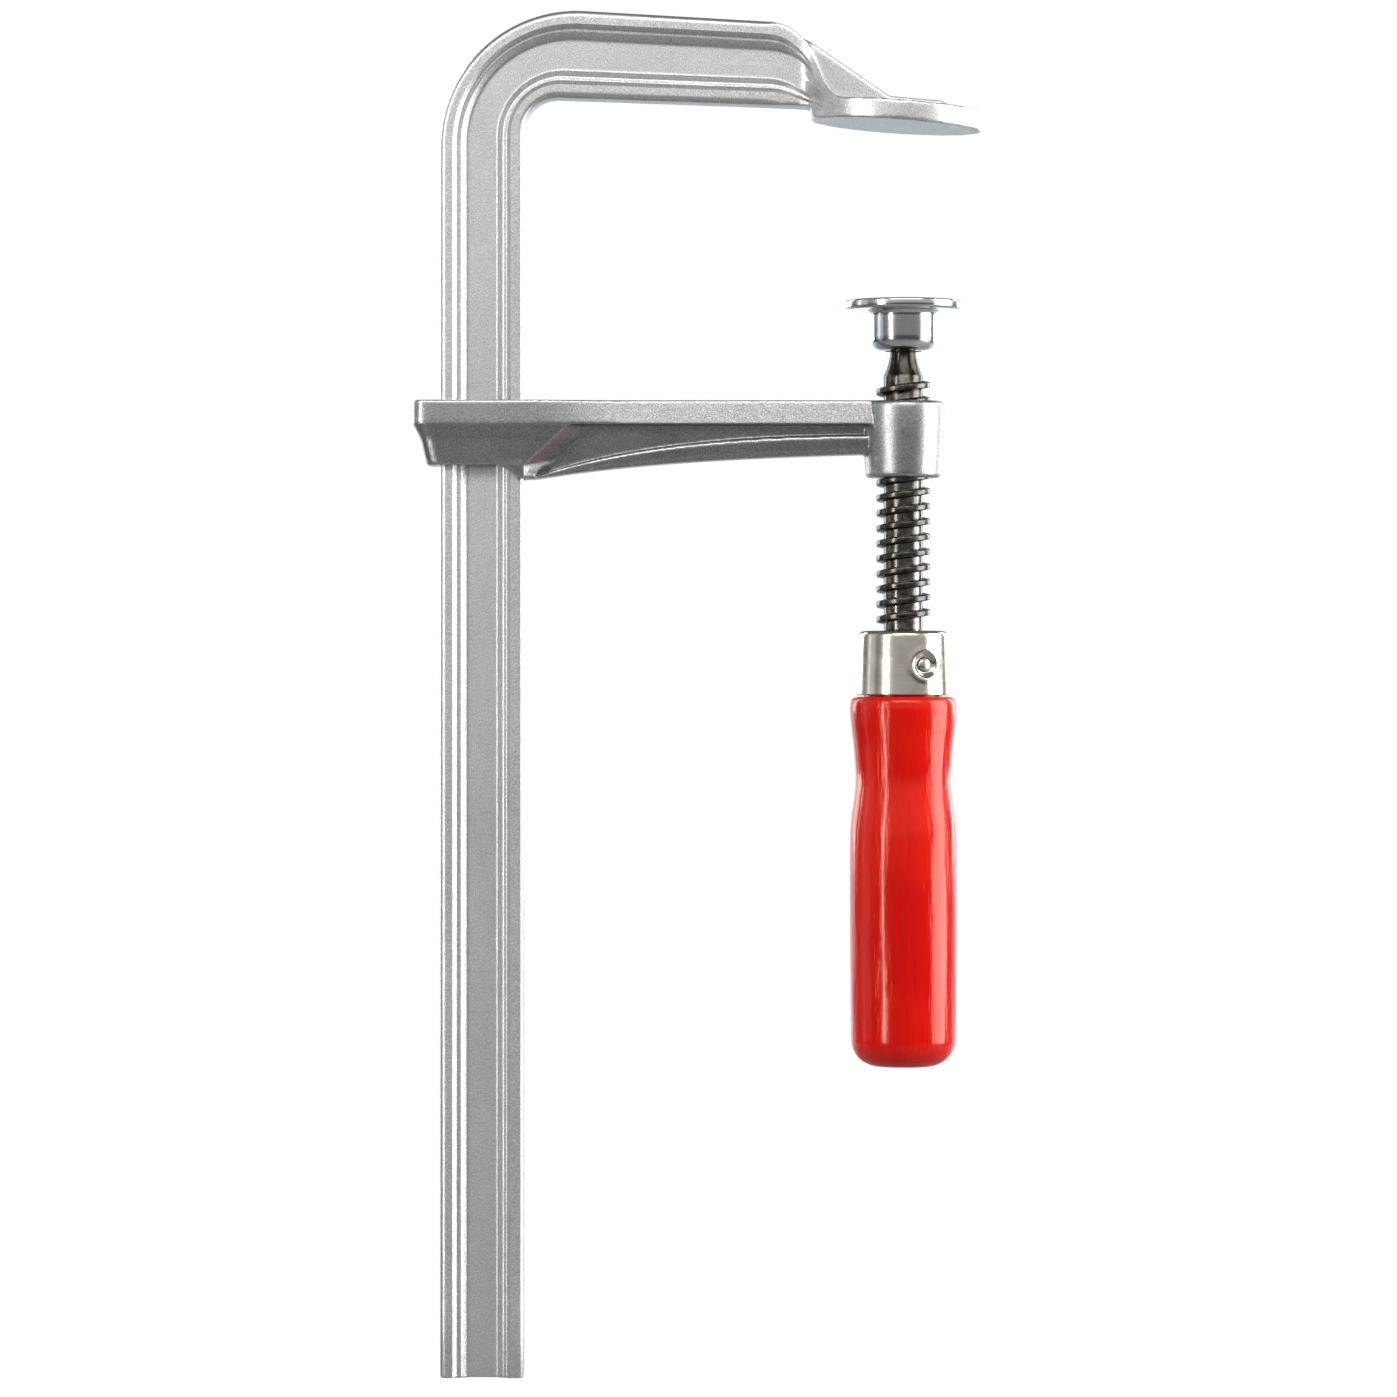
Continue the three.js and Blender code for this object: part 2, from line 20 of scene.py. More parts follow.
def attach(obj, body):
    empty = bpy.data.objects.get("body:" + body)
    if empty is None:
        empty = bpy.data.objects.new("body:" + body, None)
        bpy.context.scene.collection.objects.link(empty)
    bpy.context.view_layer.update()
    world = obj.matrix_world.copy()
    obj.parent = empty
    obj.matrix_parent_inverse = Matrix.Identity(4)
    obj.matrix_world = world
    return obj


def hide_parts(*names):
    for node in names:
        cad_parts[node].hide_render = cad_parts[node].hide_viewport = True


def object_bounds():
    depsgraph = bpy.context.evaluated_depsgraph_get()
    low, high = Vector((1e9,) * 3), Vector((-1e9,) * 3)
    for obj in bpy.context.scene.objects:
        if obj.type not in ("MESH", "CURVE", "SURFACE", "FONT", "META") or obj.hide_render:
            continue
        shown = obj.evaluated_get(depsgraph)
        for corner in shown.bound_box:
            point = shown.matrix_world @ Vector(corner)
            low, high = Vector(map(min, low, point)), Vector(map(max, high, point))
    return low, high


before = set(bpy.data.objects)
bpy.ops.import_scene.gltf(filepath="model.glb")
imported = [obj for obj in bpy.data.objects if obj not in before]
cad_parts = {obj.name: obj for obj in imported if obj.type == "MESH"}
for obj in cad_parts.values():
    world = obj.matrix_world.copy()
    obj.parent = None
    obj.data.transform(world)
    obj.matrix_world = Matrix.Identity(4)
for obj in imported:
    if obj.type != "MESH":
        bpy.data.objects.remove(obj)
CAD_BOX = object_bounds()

LOG = logging.getLogger("f_clamp")
MM = 0.001
FULL_TURN = 2 * math.pi

Point = tuple[float, float]


class Body(Enum):
    """CAD bodies that the pieces ride on."""

    RAIL = "rail_body"
    ARM = "arm_body"
    PLATE = "plate_body"
    SCREW = "screw_body"


class Slot(Enum):
    """Material slots of the record."""

    RAIL = "zinc_rail"
    FORGING = "zinc_forging"
    SCREW = "burnished_screw"
    PLATE = "bright_zinc"
    FERRULE = "nickel_sleeve"
    PIN = "pin_steel"
    GRIP = "red_lacquered_wood"


# ---------------------------------------------------------------- drawing aids


def smooth_step(low: float, high: float, value: float) -> float:
    """Share from 0 to 1, easing in and out, of the way from low to high.

    Args:
        low: Value at which the share is still 0.
        high: Value at which it reaches 1, above or below low.
        value: Value to place between them.

    Returns:
        The share.
    """
    share = min(max((value - low) / (high - low), 0.0), 1.0)
    return share * share * (3 - 2 * share)


def arc(centre: Point, radius: float, start: float, end: float, steps: int) -> list[Point]:
    """Points on a circular arc.

    Args:
        centre: Centre of the arc.
        radius: Its radius.
        start: First angle, in degrees.
        end: Last angle, in degrees.
        steps: Number of chords.

    Returns:
        Points from the first angle to the last.
    """
    turns = (math.radians(start + (end - start) * i / steps) for i in range(steps + 1))
    return [(centre[0] + radius * math.cos(t), centre[1] + radius * math.sin(t)) for t in turns]


def bezier(corners: Sequence[Point], steps: int) -> list[Point]:
    """Points on a quadratic or cubic Bezier curve, without its first point.

    Args:
        corners: Three or four control points.
        steps: Number of chords.

    Returns:
        Points after the start, up to and with the end.
    """
    line = []
    for i in range(1, steps + 1):
        level = [Vector(c) for c in corners]
        while len(level) > 1:
            level = [a.lerp(b, i / steps) for a, b in zip(level, level[1:])]
        line.append(tuple(level[0]))
    return line


def rounded(corners: Sequence[tuple[float, float, float]], steps: int = 4) -> list[Point]:
    """Outline whose corners are rounded off.

    Args:
        corners: Corner places and the length of edge that each rounding takes, 0 for a sharp one.
        steps: Chords in each rounding.

    Returns:
        The outline's points, open at its ends.
    """
    line: list[Point] = []
    last = len(corners) - 1
    for i, (x, y, cut) in enumerate(corners):
        if cut <= 0 or i in (0, last):
            line.append((x, y))
            continue
        here = Vector((x, y))
        before = (Vector(corners[i - 1][:2]) - here).normalized() * cut + here
        after = (Vector(corners[i + 1][:2]) - here).normalized() * cut + here
        line.append(tuple(before))
        line += bezier([tuple(before), (x, y), tuple(after)], steps)
    return line


# ---------------------------------------------------------------- modelling bench


class Bench:
    """Modelling steps in Blender's own operators. Places given to it are in millimetres."""

    @staticmethod
    def clear() -> None:
        """Leave edit mode and deselect everything."""
        active = bpy.context.view_layer.objects.active
        if active is not None and active.mode != "OBJECT":
            bpy.ops.object.mode_set(mode="OBJECT")
        bpy.ops.object.select_all(action="DESELECT")

    @staticmethod
    def focus(piece: bpy.types.Object) -> None:
        """Select one piece alone and make it the active one."""
        Bench.clear()
        piece.select_set(True)
        bpy.context.view_layer.objects.active = piece

    @staticmethod
    def edit(piece: bpy.types.Object, mode: str = "VERT") -> None:
        """Open a piece in edit mode with nothing selected."""
        Bench.focus(piece)
        bpy.ops.object.mode_set(mode="EDIT")
        bpy.ops.mesh.select_mode(type=mode)
        bpy.ops.mesh.select_all(action="DESELECT")

    @staticmethod
    def close(piece: bpy.types.Object) -> None:
        """Merge doubles, turn every face outwards and leave edit mode."""
        Bench.focus(piece)
        bpy.ops.object.mode_set(mode="EDIT")
        bpy.ops.mesh.select_mode(type="VERT")
        bpy.ops.mesh.select_all(action="SELECT")
        bpy.ops.mesh.remove_doubles(threshold=0.002 * MM)
        bpy.ops.mesh.normals_make_consistent(inside=False)
        bpy.ops.object.mode_set(mode="OBJECT")

    @staticmethod
    def pick(piece: bpy.types.Object, wanted: Callable[[Vector], bool]) -> int:
        """Select the vertices of a piece in edit mode by their place.

        Args:
            piece: Piece that is open in edit mode.
            wanted: Tells from a place in millimetres whether its vertex is selected.

        Returns:
            How many vertices are selected.
        """
        shape = bmesh.from_edit_mesh(piece.data)
        for vertex in shape.verts:
            vertex.select = wanted(vertex.co / MM)
        shape.select_flush_mode()
        bmesh.update_edit_mesh(piece.data)
        return sum(v.select for v in shape.verts)

    @staticmethod
    def ring(name: str, places: Sequence[Sequence[float]], filled: bool) -> bpy.types.Object:
        """Add a circle with a corner for each place and set its corners there.

        Args:
            name: Name of the new piece.
            places: Corner places, in millimetres.
            filled: Whether the ring gets a face.

        Returns:
            The new piece.
        """
        Bench.clear()
        fill = "NGON" if filled else "NOTHING"
        bpy.ops.mesh.primitive_circle_add(vertices=len(places), radius=MM, fill_type=fill)
        piece = bpy.context.object
        piece.name = piece.data.name = name
        for vertex, place in zip(piece.data.vertices, places):
            vertex.co = Vector(place) * MM
        return piece

    @staticmethod
    def prism(name: str, places: Sequence[Sequence[float]], along: Sequence[float]) -> bpy.types.Object:
        """Draw an outline and extrude it into a closed block.

        Args:
            name: Name of the new piece.
            places: Corners of the outline, in millimetres.
            along: How far it is extruded, in millimetres.

        Returns:
            The new piece.
        """
        piece = Bench.ring(name, places, filled=True)
        Bench.edit(piece)
        bpy.ops.mesh.select_all(action="SELECT")
        bpy.ops.mesh.extrude_region_move(TRANSFORM_OT_translate={"value": Vector(along) * MM})
        Bench.close(piece)
        return piece

    @staticmethod
    def loft(name: str, rings: Sequence[Sequence[Sequence[float]]]) -> bpy.types.Object:
        """Extrude a ring of corners from station to station and cap both ends.

        Args:
            name: Name of the new piece.
            rings: Corner places of each station, in millimetres, with the same count in all.

        Returns:
            The new piece.
        """
        piece = Bench.ring(name, rings[0], filled=True)
        Bench.edit(piece)
        shape = bmesh.from_edit_mesh(piece.data)
        order = shape.verts.layers.int.new("order")
        shape.verts.ensure_lookup_table()
        for i, vertex in enumerate(shape.verts):
            vertex[order] = i
            vertex.select = True
        shape.select_flush_mode()
        bmesh.update_edit_mesh(piece.data)
        for places in rings[1:]:
            Bench.carry_on(piece, places)
        Bench.drop_order(piece)
        Bench.close(piece)
        return piece

    @staticmethod
    def carry_on(piece: bpy.types.Object, places: Sequence[Sequence[float]]) -> None:
        """Extrude the selected ring and set its new corners, which keep their order numbers.

        Args:
            piece: Piece that is open in edit mode.
            places: New corner places in millimetres, by order number.
        """
        bpy.ops.mesh.extrude_region_move(TRANSFORM_OT_translate={"value": (0, 0, 0)})
        shape = bmesh.from_edit_mesh(piece.data)
        order = shape.verts.layers.int["order"]
        for vertex in shape.verts:
            if vertex.select:
                vertex.co = Vector(places[vertex[order]]) * MM
        bmesh.update_edit_mesh(piece.data)

    @staticmethod
    def drop_order(piece: bpy.types.Object) -> None:
        """Leave edit mode and remove the order numbers."""
        bpy.ops.object.mode_set(mode="OBJECT")
        piece.data.attributes.remove(piece.data.attributes["order"])

    @staticmethod
    def turn(name: str, profile: Sequence[Point], segments: int, solid_core: bool = True) -> bpy.types.Object:
        """Spin a profile of radius and height round the screw's axis.

        Args:
            name: Name of the new piece.
            profile: Radius and height of each corner, in millimetres.
            segments: Facets round the piece.
            solid_core: True if the profile starts and ends on the axis, False for a closed ring.

        Returns:
            The new piece.
        """
        piece = Bench.ring(name, [(radius, 0, height) for radius, height in profile], filled=False)
        Bench.edit(piece, "EDGE")
        if solid_core:
            shape = bmesh.from_edit_mesh(piece.data)
            for edge in shape.edges:
                edge.select = all(abs(v.co.x) < 1e-9 for v in edge.verts)
            bmesh.update_edit_mesh(piece.data)
            bpy.ops.mesh.delete(type="EDGE")
        bpy.ops.mesh.select_all(action="SELECT")
        bpy.ops.mesh.spin(steps=segments, angle=FULL_TURN, center=(0, 0, 0), axis=(0, 0, 1))
        Bench.close(piece)
        return piece

    @staticmethod
    def apply(piece: bpy.types.Object, kind: str, **settings: object) -> None:
        """Add a modifier, set it and apply it.

        Args:
            piece: Piece that gets it.
            kind: Blender's type name of the modifier.
            **settings: Its properties.
        """
        modifier = piece.modifiers.new(kind.lower(), kind)
        for key, value in settings.items():
            setattr(modifier, key, value)
        Bench.focus(piece)
        bpy.ops.object.modifier_apply(modifier=modifier.name)

    @staticmethod
    def combine(piece: bpy.types.Object, other: bpy.types.Object, operation: str) -> None:
        """Cut, join or intersect a piece with another, which is used up.

        Args:
            piece: Piece that stays.
            other: Piece that shapes it.
            operation: DIFFERENCE, UNION or INTERSECT.
        """
        Bench.apply(piece, "BOOLEAN", object=other, operation=operation, solver="EXACT")
        bpy.data.objects.remove(other)

    @staticmethod
    def gather(piece: bpy.types.Object, others: Sequence[bpy.types.Object]) -> None:
        """Join other pieces into a piece."""
        Bench.focus(piece)
        for other in others:
            other.select_set(True)
        bpy.ops.object.join()

    @staticmethod
    def forge(piece: bpy.types.Object, grain: float, passes: int) -> None:
        """Fuse overlapping blanks into one skin and round it as a drop forging is.

        Args:
            piece: Piece that holds all the blanks.
            grain: Size of a face, in millimetres.
            passes: Rounds of smoothing.
        """
        Bench.apply(piece, "REMESH", mode="VOXEL", voxel_size=grain * MM)
        Bench.apply(piece, "SMOOTH", factor=0.5, iterations=passes)

    @staticmethod
    def cut_at(piece: bpy.types.Object, place: Sequence[float], outward: Sequence[float], fill: bool) -> None:
        """Cut off all that lies beyond a plane.

        Args:
            piece: Piece to cut.
            place: Point on the plane, in millimetres.
            outward: The plane's normal, towards what goes.
            fill: Whether the cut is closed.
        """
        Bench.edit(piece)
        bpy.ops.mesh.select_all(action="SELECT")
        bpy.ops.mesh.bisect(
            plane_co=Vector(place) * MM, plane_no=outward, use_fill=fill, clear_outer=True, threshold=1e-7,
        )
        bpy.ops.object.mode_set(mode="OBJECT")

    @staticmethod
    def soften(piece: bpy.types.Object, angle: float) -> None:
        """Shade smooth, except across edges sharper than an angle in degrees."""
        Bench.focus(piece)
        bpy.ops.object.shade_smooth_by_angle(angle=math.radians(angle))

    @staticmethod
    def mount(piece: bpy.types.Object, body: Body, node: str, slot: Slot, finish: bpy.types.Material) -> None:
        """Dress a piece and hang it on the frame in place of its CAD node.

        Args:
            piece: Finished piece.
            body: CAD body that it moves with.
            node: CAD node that it stands for.
            slot: Material slot of the record; not used.
            finish: Its material.
        """
        piece.data.materials.clear()
        piece.data.materials.append(finish)
        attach(piece, body.value)
        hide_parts(node)
        faces = len(piece.data.polygons)
        LOG.info("%s: %d faces, rides on %s", piece.name, faces, body.value)


# ---------------------------------------------------------------- shader bench


class ShaderBench:
    """Adds and links nodes in one node tree."""

    def __init__(self, tree: bpy.types.NodeTree) -> None:
        """Keep the tree that the nodes go into."""
        self.tree = tree

    def add(self, kind: str, **settings: object) -> bpy.types.Node:
        """Add a node and set its properties.

        Args:
            kind: Blender's class name of the node.
            **settings: Its properties.

        Returns:
            The node.
        """
        node = self.tree.nodes.new(kind)
        for key, value in settings.items():
            setattr(node, key, value)
        return node

    def wire(self, source: object, target: bpy.types.NodeSocket) -> None:
        """Link a socket to a target, or set the target to a plain value."""
        if isinstance(source, bpy.types.NodeSocket):
            self.tree.links.new(source, target)
        else:
            target.default_value = source

    def math(self, operation: str, *inputs: object, clamp: bool = False) -> bpy.types.NodeSocket:
        """Add a Math node.

        Args:
            operation: Blender's name of the operation.
            *inputs: Sockets or numbers.
            clamp: Whether the result is kept between 0 and 1.

        Returns:
            Its output.
        """
        node = self.add("ShaderNodeMath", operation=operation, use_clamp=clamp)
        for source, target in zip(inputs, node.inputs):
            self.wire(source, target)
        return node.outputs[0]

    def spread(
        self, source: object, low: float, high: float, out_low: float, out_high: float,
    ) -> bpy.types.NodeSocket:
        """Map a range of values smoothly onto another.

        Args:
            source: Socket to map.
            low: Value that gives out_low.
            high: Value that gives out_high.
            out_low: Result at and below low.
            out_high: Result at and above high.

        Returns:
            The mapped value.
        """
        node = self.add("ShaderNodeMapRange", interpolation_type="SMOOTHSTEP")
        for key, value in zip(("Value", "From Min", "From Max", "To Min", "To Max"),
                              (source, low, high, out_low, out_high)):
            self.wire(value, node.inputs[key])
        return node.outputs["Result"]

    def blend(self, share: object, first: object, second: object, mode: str = "MIX") -> bpy.types.NodeSocket:
        """Mix two colours.

        Args:
            share: How much of the second there is.
            first: Socket or colour.
            second: Socket or colour.
            mode: Blender's name of the way of mixing.

        Returns:
            The mixed colour.
        """
        node = self.add("ShaderNodeMix", data_type="RGBA", blend_type=mode)
        self.wire(share, node.inputs[0])
        self.wire(first, node.inputs[6])
        self.wire(second, node.inputs[7])
        return node.outputs[2]

    def noise(
        self, where: object, scale: float, detail: float = 2.0, roughness: float = 0.5,
    ) -> bpy.types.NodeSocket:
        """Add a noise texture.

        Args:
            where: Socket of the places it reads.
            scale: Waves in a metre.
            detail: Octaves.
            roughness: How strong the finer octaves are.

        Returns:
            Its value.
        """
        node = self.add("ShaderNodeTexNoise")
        self.wire(where, node.inputs["Vector"])
        self.wire(scale, node.inputs["Scale"])
        node.inputs["Detail"].default_value = detail
        node.inputs["Roughness"].default_value = roughness
        return node.outputs[0]

    def scaled(self, where: object, scale: Sequence[float]) -> bpy.types.NodeSocket:
        """Stretch places along X, Y and Z with a Mapping node."""
        node = self.add("ShaderNodeMapping")
        self.wire(where, node.inputs["Vector"])
        node.inputs["Scale"].default_value = scale
        return node.outputs[0]


class Effects:
    """Shader node groups that several finishes share, each built once."""

    _made: dict[str, bpy.types.NodeTree] = {}

    @classmethod
    def _open(
        cls, name: str, inputs: Sequence[tuple[str, float]], outputs: Sequence[str],
    ) -> tuple[bpy.types.NodeTree, ShaderBench, bpy.types.Node, bpy.types.Node]:
        """Start a group with number sockets.

        Args:
            name: Name of the group.
            inputs: Name and default of each input.
            outputs: Name of each output.

        Returns:
            The tree, its bench, and its input and output nodes.
        """
        tree = bpy.data.node_groups.new(name, "ShaderNodeTree")
        for label, default in inputs:
            socket = tree.interface.new_socket(label, in_out="INPUT", socket_type="NodeSocketFloat")
            socket.default_value = default
        for label in outputs:
            tree.interface.new_socket(label, in_out="OUTPUT", socket_type="NodeSocketFloat")
        bench = ShaderBench(tree)
        cls._made[name] = tree
        return tree, bench, bench.add("NodeGroupInput"), bench.add("NodeGroupOutput")

    @classmethod
    def grain(cls) -> bpy.types.NodeTree:
        """Fine blasted or plated grain: a height, and a coarser mottle."""
        if "fine grain" in cls._made:
            return cls._made["fine grain"]
        tree, bench, into, out = cls._open(
            "fine grain", [("Scale", 2400.0), ("Mottle Scale", 300.0)], ["Height", "Mottle"],
        )
        where = bench.add("ShaderNodeTexCoord").outputs["Object"]
        fine = bench.noise(where, into.outputs["Scale"], detail=3.0, roughness=0.6)
        mottle = bench.noise(where, into.outputs["Mottle Scale"], detail=3.0, roughness=0.55)
        bench.wire(fine, out.inputs["Height"])
        bench.wire(mottle, out.inputs["Mottle"])
        return tree

    @classmethod
    def painted_edges_and_hollows(cls) -> bpy.types.NodeTree:
        """Masks of painted highlight on sharp edges and of painted shade in hollows, read from pointiness."""
        if "painted edges and hollows" in cls._made:
            return cls._made["painted edges and hollows"]
        tree, bench, into, out = cls._open(
            "painted edges and hollows", [("Amount", 1.0), ("Spread", 0.06)], ["Worn", "Hollow Shade"],
        )
        where = bench.add("ShaderNodeTexCoord").outputs["Object"]
        broken = bench.spread(bench.noise(where, 700.0, detail=3.0), 0.35, 0.65, 0.45, 1.0)
        sharp = bench.add("ShaderNodeNewGeometry").outputs["Pointiness"]
        # Painted highlight: the sharper an edge, the more of the bright colour it gets, in broken patches.
        above = bench.math("SUBTRACT", sharp, 0.5)
        edge_highlight = bench.math("DIVIDE", above, into.outputs["Spread"], clamp=True)
        patchy = bench.math("MULTIPLY", edge_highlight, broken)
        edge_highlight = bench.math("MULTIPLY", patchy, into.outputs["Amount"], clamp=True)
        # Painted shade: the deeper a hollow, the more of the dark colour it gets.
        below = bench.math("SUBTRACT", 0.5, sharp)
        hollow_shade = bench.math("DIVIDE", below, into.outputs["Spread"], clamp=True)
        bench.wire(edge_highlight, out.inputs["Worn"])
        bench.wire(bench.math("MULTIPLY", hollow_shade, into.outputs["Amount"], clamp=True), out.inputs["Hollow Shade"])
        return tree

    @classmethod
    def tool_rings(cls) -> bpy.types.NodeTree:
        """Fine rings that a lathe leaves, round the screw's axis: a height."""
        if "tool rings" in cls._made:
            return cls._made["tool rings"]
        tree, bench, into, out = cls._open("tool rings", [("Scale", 4000.0)], ["Height"])
        where = bench.add("ShaderNodeTexCoord").outputs["Object"]
        parts = bench.add("ShaderNodeSeparateXYZ")
        bench.wire(where, parts.inputs[0])
        square = bench.math("ADD", bench.math("MULTIPLY", parts.outputs[0], parts.outputs[0]),
                            bench.math("MULTIPLY", parts.outputs[1], parts.outputs[1]))
        flat = bench.add("ShaderNodeCombineXYZ")
        bench.wire(bench.math("SQRT", square), flat.inputs[0])
        bench.wire(parts.outputs[2], flat.inputs[2])
        bench.wire(bench.noise(flat.outputs[0], into.outputs["Scale"], detail=2.0), out.inputs["Height"])
        return tree

    @classmethod
    def handling(cls) -> bpy.types.NodeTree:
        """Faint wipe marks and fingerprints: a change of gloss."""
        if "handling marks" in cls._made:
            return cls._made["handling marks"]
        tree, bench, into, out = cls._open("handling marks", [("Amount", 0.05)], ["Gloss"])
        where = bench.add("ShaderNodeTexCoord").outputs["Object"]
        cloud = bench.noise(bench.scaled(where, (1.0, 1.0, 0.5)), 70.0, detail=4.0, roughness=0.6)
        change = bench.math("MULTIPLY", bench.math("SUBTRACT", cloud, 0.5), into.outputs["Amount"])
        bench.wire(change, out.inputs["Gloss"])
        return tree


class Dresser(ShaderBench):
    """A new material with its Principled shader, and the shared effects at hand."""

    def __init__(self, name: str) -> None:
        """Make the material and find its shader."""
        self.material = bpy.data.materials.new(name)
        self.material.use_nodes = True
        super().__init__(self.material.node_tree)
        self.shader = self.tree.nodes["Principled BSDF"]

    def effect(self, tree: bpy.types.NodeTree, **values: float) -> bpy.types.Node:
        """Place a shared effect with its own values.

        Args:
            tree: The effect's node group.
            **values: Input values; underscores stand for spaces.

        Returns:
            The group node.
        """
        node = self.add("ShaderNodeGroup", node_tree=tree)
        for key, value in values.items():
            node.inputs[key.replace("_", " ")].default_value = value
        return node

    def relief(
        self, height: object, distance: float, strength: float, under: object = None,
    ) -> bpy.types.NodeSocket:
        """Add a Bump node.

        Args:
            height: Socket of the height.
            distance: Depth of the relief, in metres.
            strength: Share of it that shows.
            under: Normal of a coarser relief below it.

        Returns:
            The new normal.
        """
        node = self.add("ShaderNodeBump")
        node.inputs["Strength"].default_value = strength
        node.inputs["Distance"].default_value = distance
        self.wire(height, node.inputs["Height"])
        if under is not None:
            self.wire(under, node.inputs["Normal"])
        return node.outputs[0]

    def finish(self, **values: object) -> bpy.types.Material:
        """Set the shader's sockets and return the material.

        Args:
            **values: Sockets or plain values; underscores stand for spaces.

        Returns:
            The finished material.
        """
        for key, value in values.items():
            self.wire(value, self.shader.inputs[key.replace("_", " ")])
        return self.material


# ---------------------------------------------------------------- finishes

Colour = tuple[float, float, float, float]


@dataclass(frozen=True)
class ZincPlate:
    """Satin zinc plating over a blasted forging, with a sandy grain, painted highlights on sharp edges and
    painted shade in hollows.
    """

    name: str
    body: Colour = (0.90, 0.905, 0.91, 1.0)
    shade: Colour = (0.46, 0.465, 0.47, 1.0)
    # Colour of the painted highlight on sharp edges.
    bright: Colour = (0.90, 0.91, 0.92, 1.0)
    # Colour of the painted shade in hollows.
    hollow_shade: Colour = (0.16, 0.16, 0.16, 1.0)
    roughness: float = 0.38
    grain_scale: float = 2500.0
    grain_depth: float = 0.00008
    grain_strength: float = 0.55

    def build(self) -> bpy.types.Material:
        """Build the material."""
        d = Dresser(self.name)
        grain = d.effect(Effects.grain(), Scale=self.grain_scale, Mottle_Scale=420.0)
        fine = d.effect(Effects.grain(), Scale=self.grain_scale * 1.5, Mottle_Scale=self.grain_scale * 0.8)
        painted_light = d.effect(Effects.painted_edges_and_hollows(), Amount=0.7, Spread=0.05)
        marks = d.effect(Effects.handling(), Amount=0.12)
        speck = d.spread(fine.outputs["Height"], 0.42, 0.60, 0.0, 1.0)
        colour = d.blend(speck, self.shade, self.body)
        patch = d.spread(fine.outputs["Mottle"], 0.35, 0.68, 0.0, 0.5)
        colour = d.blend(patch, colour, self.shade)
        cloudy = d.spread(grain.outputs["Mottle"], 0.3, 0.7, 0.0, 0.12)
        colour = d.blend(cloudy, colour, self.body)
        # Painted highlight on sharp edges, then painted shade in hollows.
        colour = d.blend(painted_light.outputs["Worn"], colour, self.bright)
        colour = d.blend(painted_light.outputs["Hollow Shade"], colour, self.hollow_shade)
        sanded = d.spread(speck, 0.0, 1.0, self.roughness + 0.08, self.roughness)
        gloss = d.math("ADD", sanded, marks.outputs["Gloss"])
        gloss = d.math("SUBTRACT", gloss, d.math("MULTIPLY", painted_light.outputs["Worn"], 0.12))
        normal = d.relief(grain.outputs["Height"], self.grain_depth, self.grain_strength)
        return d.finish(Base_Color=colour, Metallic=1.0, Roughness=gloss, Normal=normal)


@dataclass(frozen=True)
class BurnishedSteel:
    """Dark brown-black rolled thread, with a thin oil film and painted highlights on its crests."""

    name: str
    body: Colour = (0.026, 0.024, 0.022, 1.0)
    brown: Colour = (0.058, 0.048, 0.040, 1.0)
    # Colour of the painted highlight on the thread's crests.
    bright: Colour = (0.42, 0.40, 0.37, 1.0)

    def build(self) -> bpy.types.Material:
        """Build the material."""
        d = Dresser(self.name)
        grain = d.effect(Effects.grain(), Scale=1500.0, Mottle_Scale=350.0)
        rings = d.effect(Effects.tool_rings(), Scale=5000.0)
        painted_light = d.effect(Effects.painted_edges_and_hollows(), Amount=0.8, Spread=0.12)
        brown = d.spread(grain.outputs["Mottle"], 0.35, 0.65, 0.0, 1.0)
        colour = d.blend(brown, self.body, self.brown)
        # Painted highlight on the crests and sharp edges.
        colour = d.blend(painted_light.outputs["Worn"], colour, self.bright)
        gloss = d.spread(grain.outputs["Mottle"], 0.3, 0.7, 0.18, 0.32)
        normal = d.relief(rings.outputs["Height"], 0.00002, 0.35)
        normal = d.relief(grain.outputs["Height"], 0.00003, 0.3, normal)
        return d.finish(Base_Color=colour, Metallic=1.0, Roughness=gloss, Normal=normal)


@dataclass(frozen=True)
class TurnedMetal:
    """Bright turned or pressed metal, with lathe rings, a few wipe marks and painted shade in its hollows."""

    name: str
    body: Colour
    tint: Colour
    roughness: float
    ring_scale: float = 4200.0
    ring_strength: float = 0.25

    def build(self) -> bpy.types.Material:
        """Build the material."""
        d = Dresser(self.name)
        rings = d.effect(Effects.tool_rings(), Scale=self.ring_scale)
        grain = d.effect(Effects.grain(), Scale=1800.0, Mottle_Scale=160.0)
        painted_light = d.effect(Effects.painted_edges_and_hollows(), Amount=0.5, Spread=0.12)
        marks = d.effect(Effects.handling(), Amount=0.10)
        cloudy = d.spread(grain.outputs["Mottle"], 0.3, 0.7, 0.0, 1.0)
        colour = d.blend(cloudy, self.body, self.tint)
        # Painted shade in hollows, towards a dark brown.
        colour = d.blend(d.math("MULTIPLY", painted_light.outputs["Hollow Shade"], 0.6), colour, (0.10, 0.09, 0.08, 1.0))
        line = d.spread(rings.outputs["Height"], 0.3, 0.7, self.roughness, self.roughness + 0.07)
        gloss = d.math("ADD", line, marks.outputs["Gloss"])
        normal = d.relief(rings.outputs["Height"], 0.00002, self.ring_strength)
        return d.finish(Base_Color=colour, Metallic=1.0, Roughness=gloss, Normal=normal)


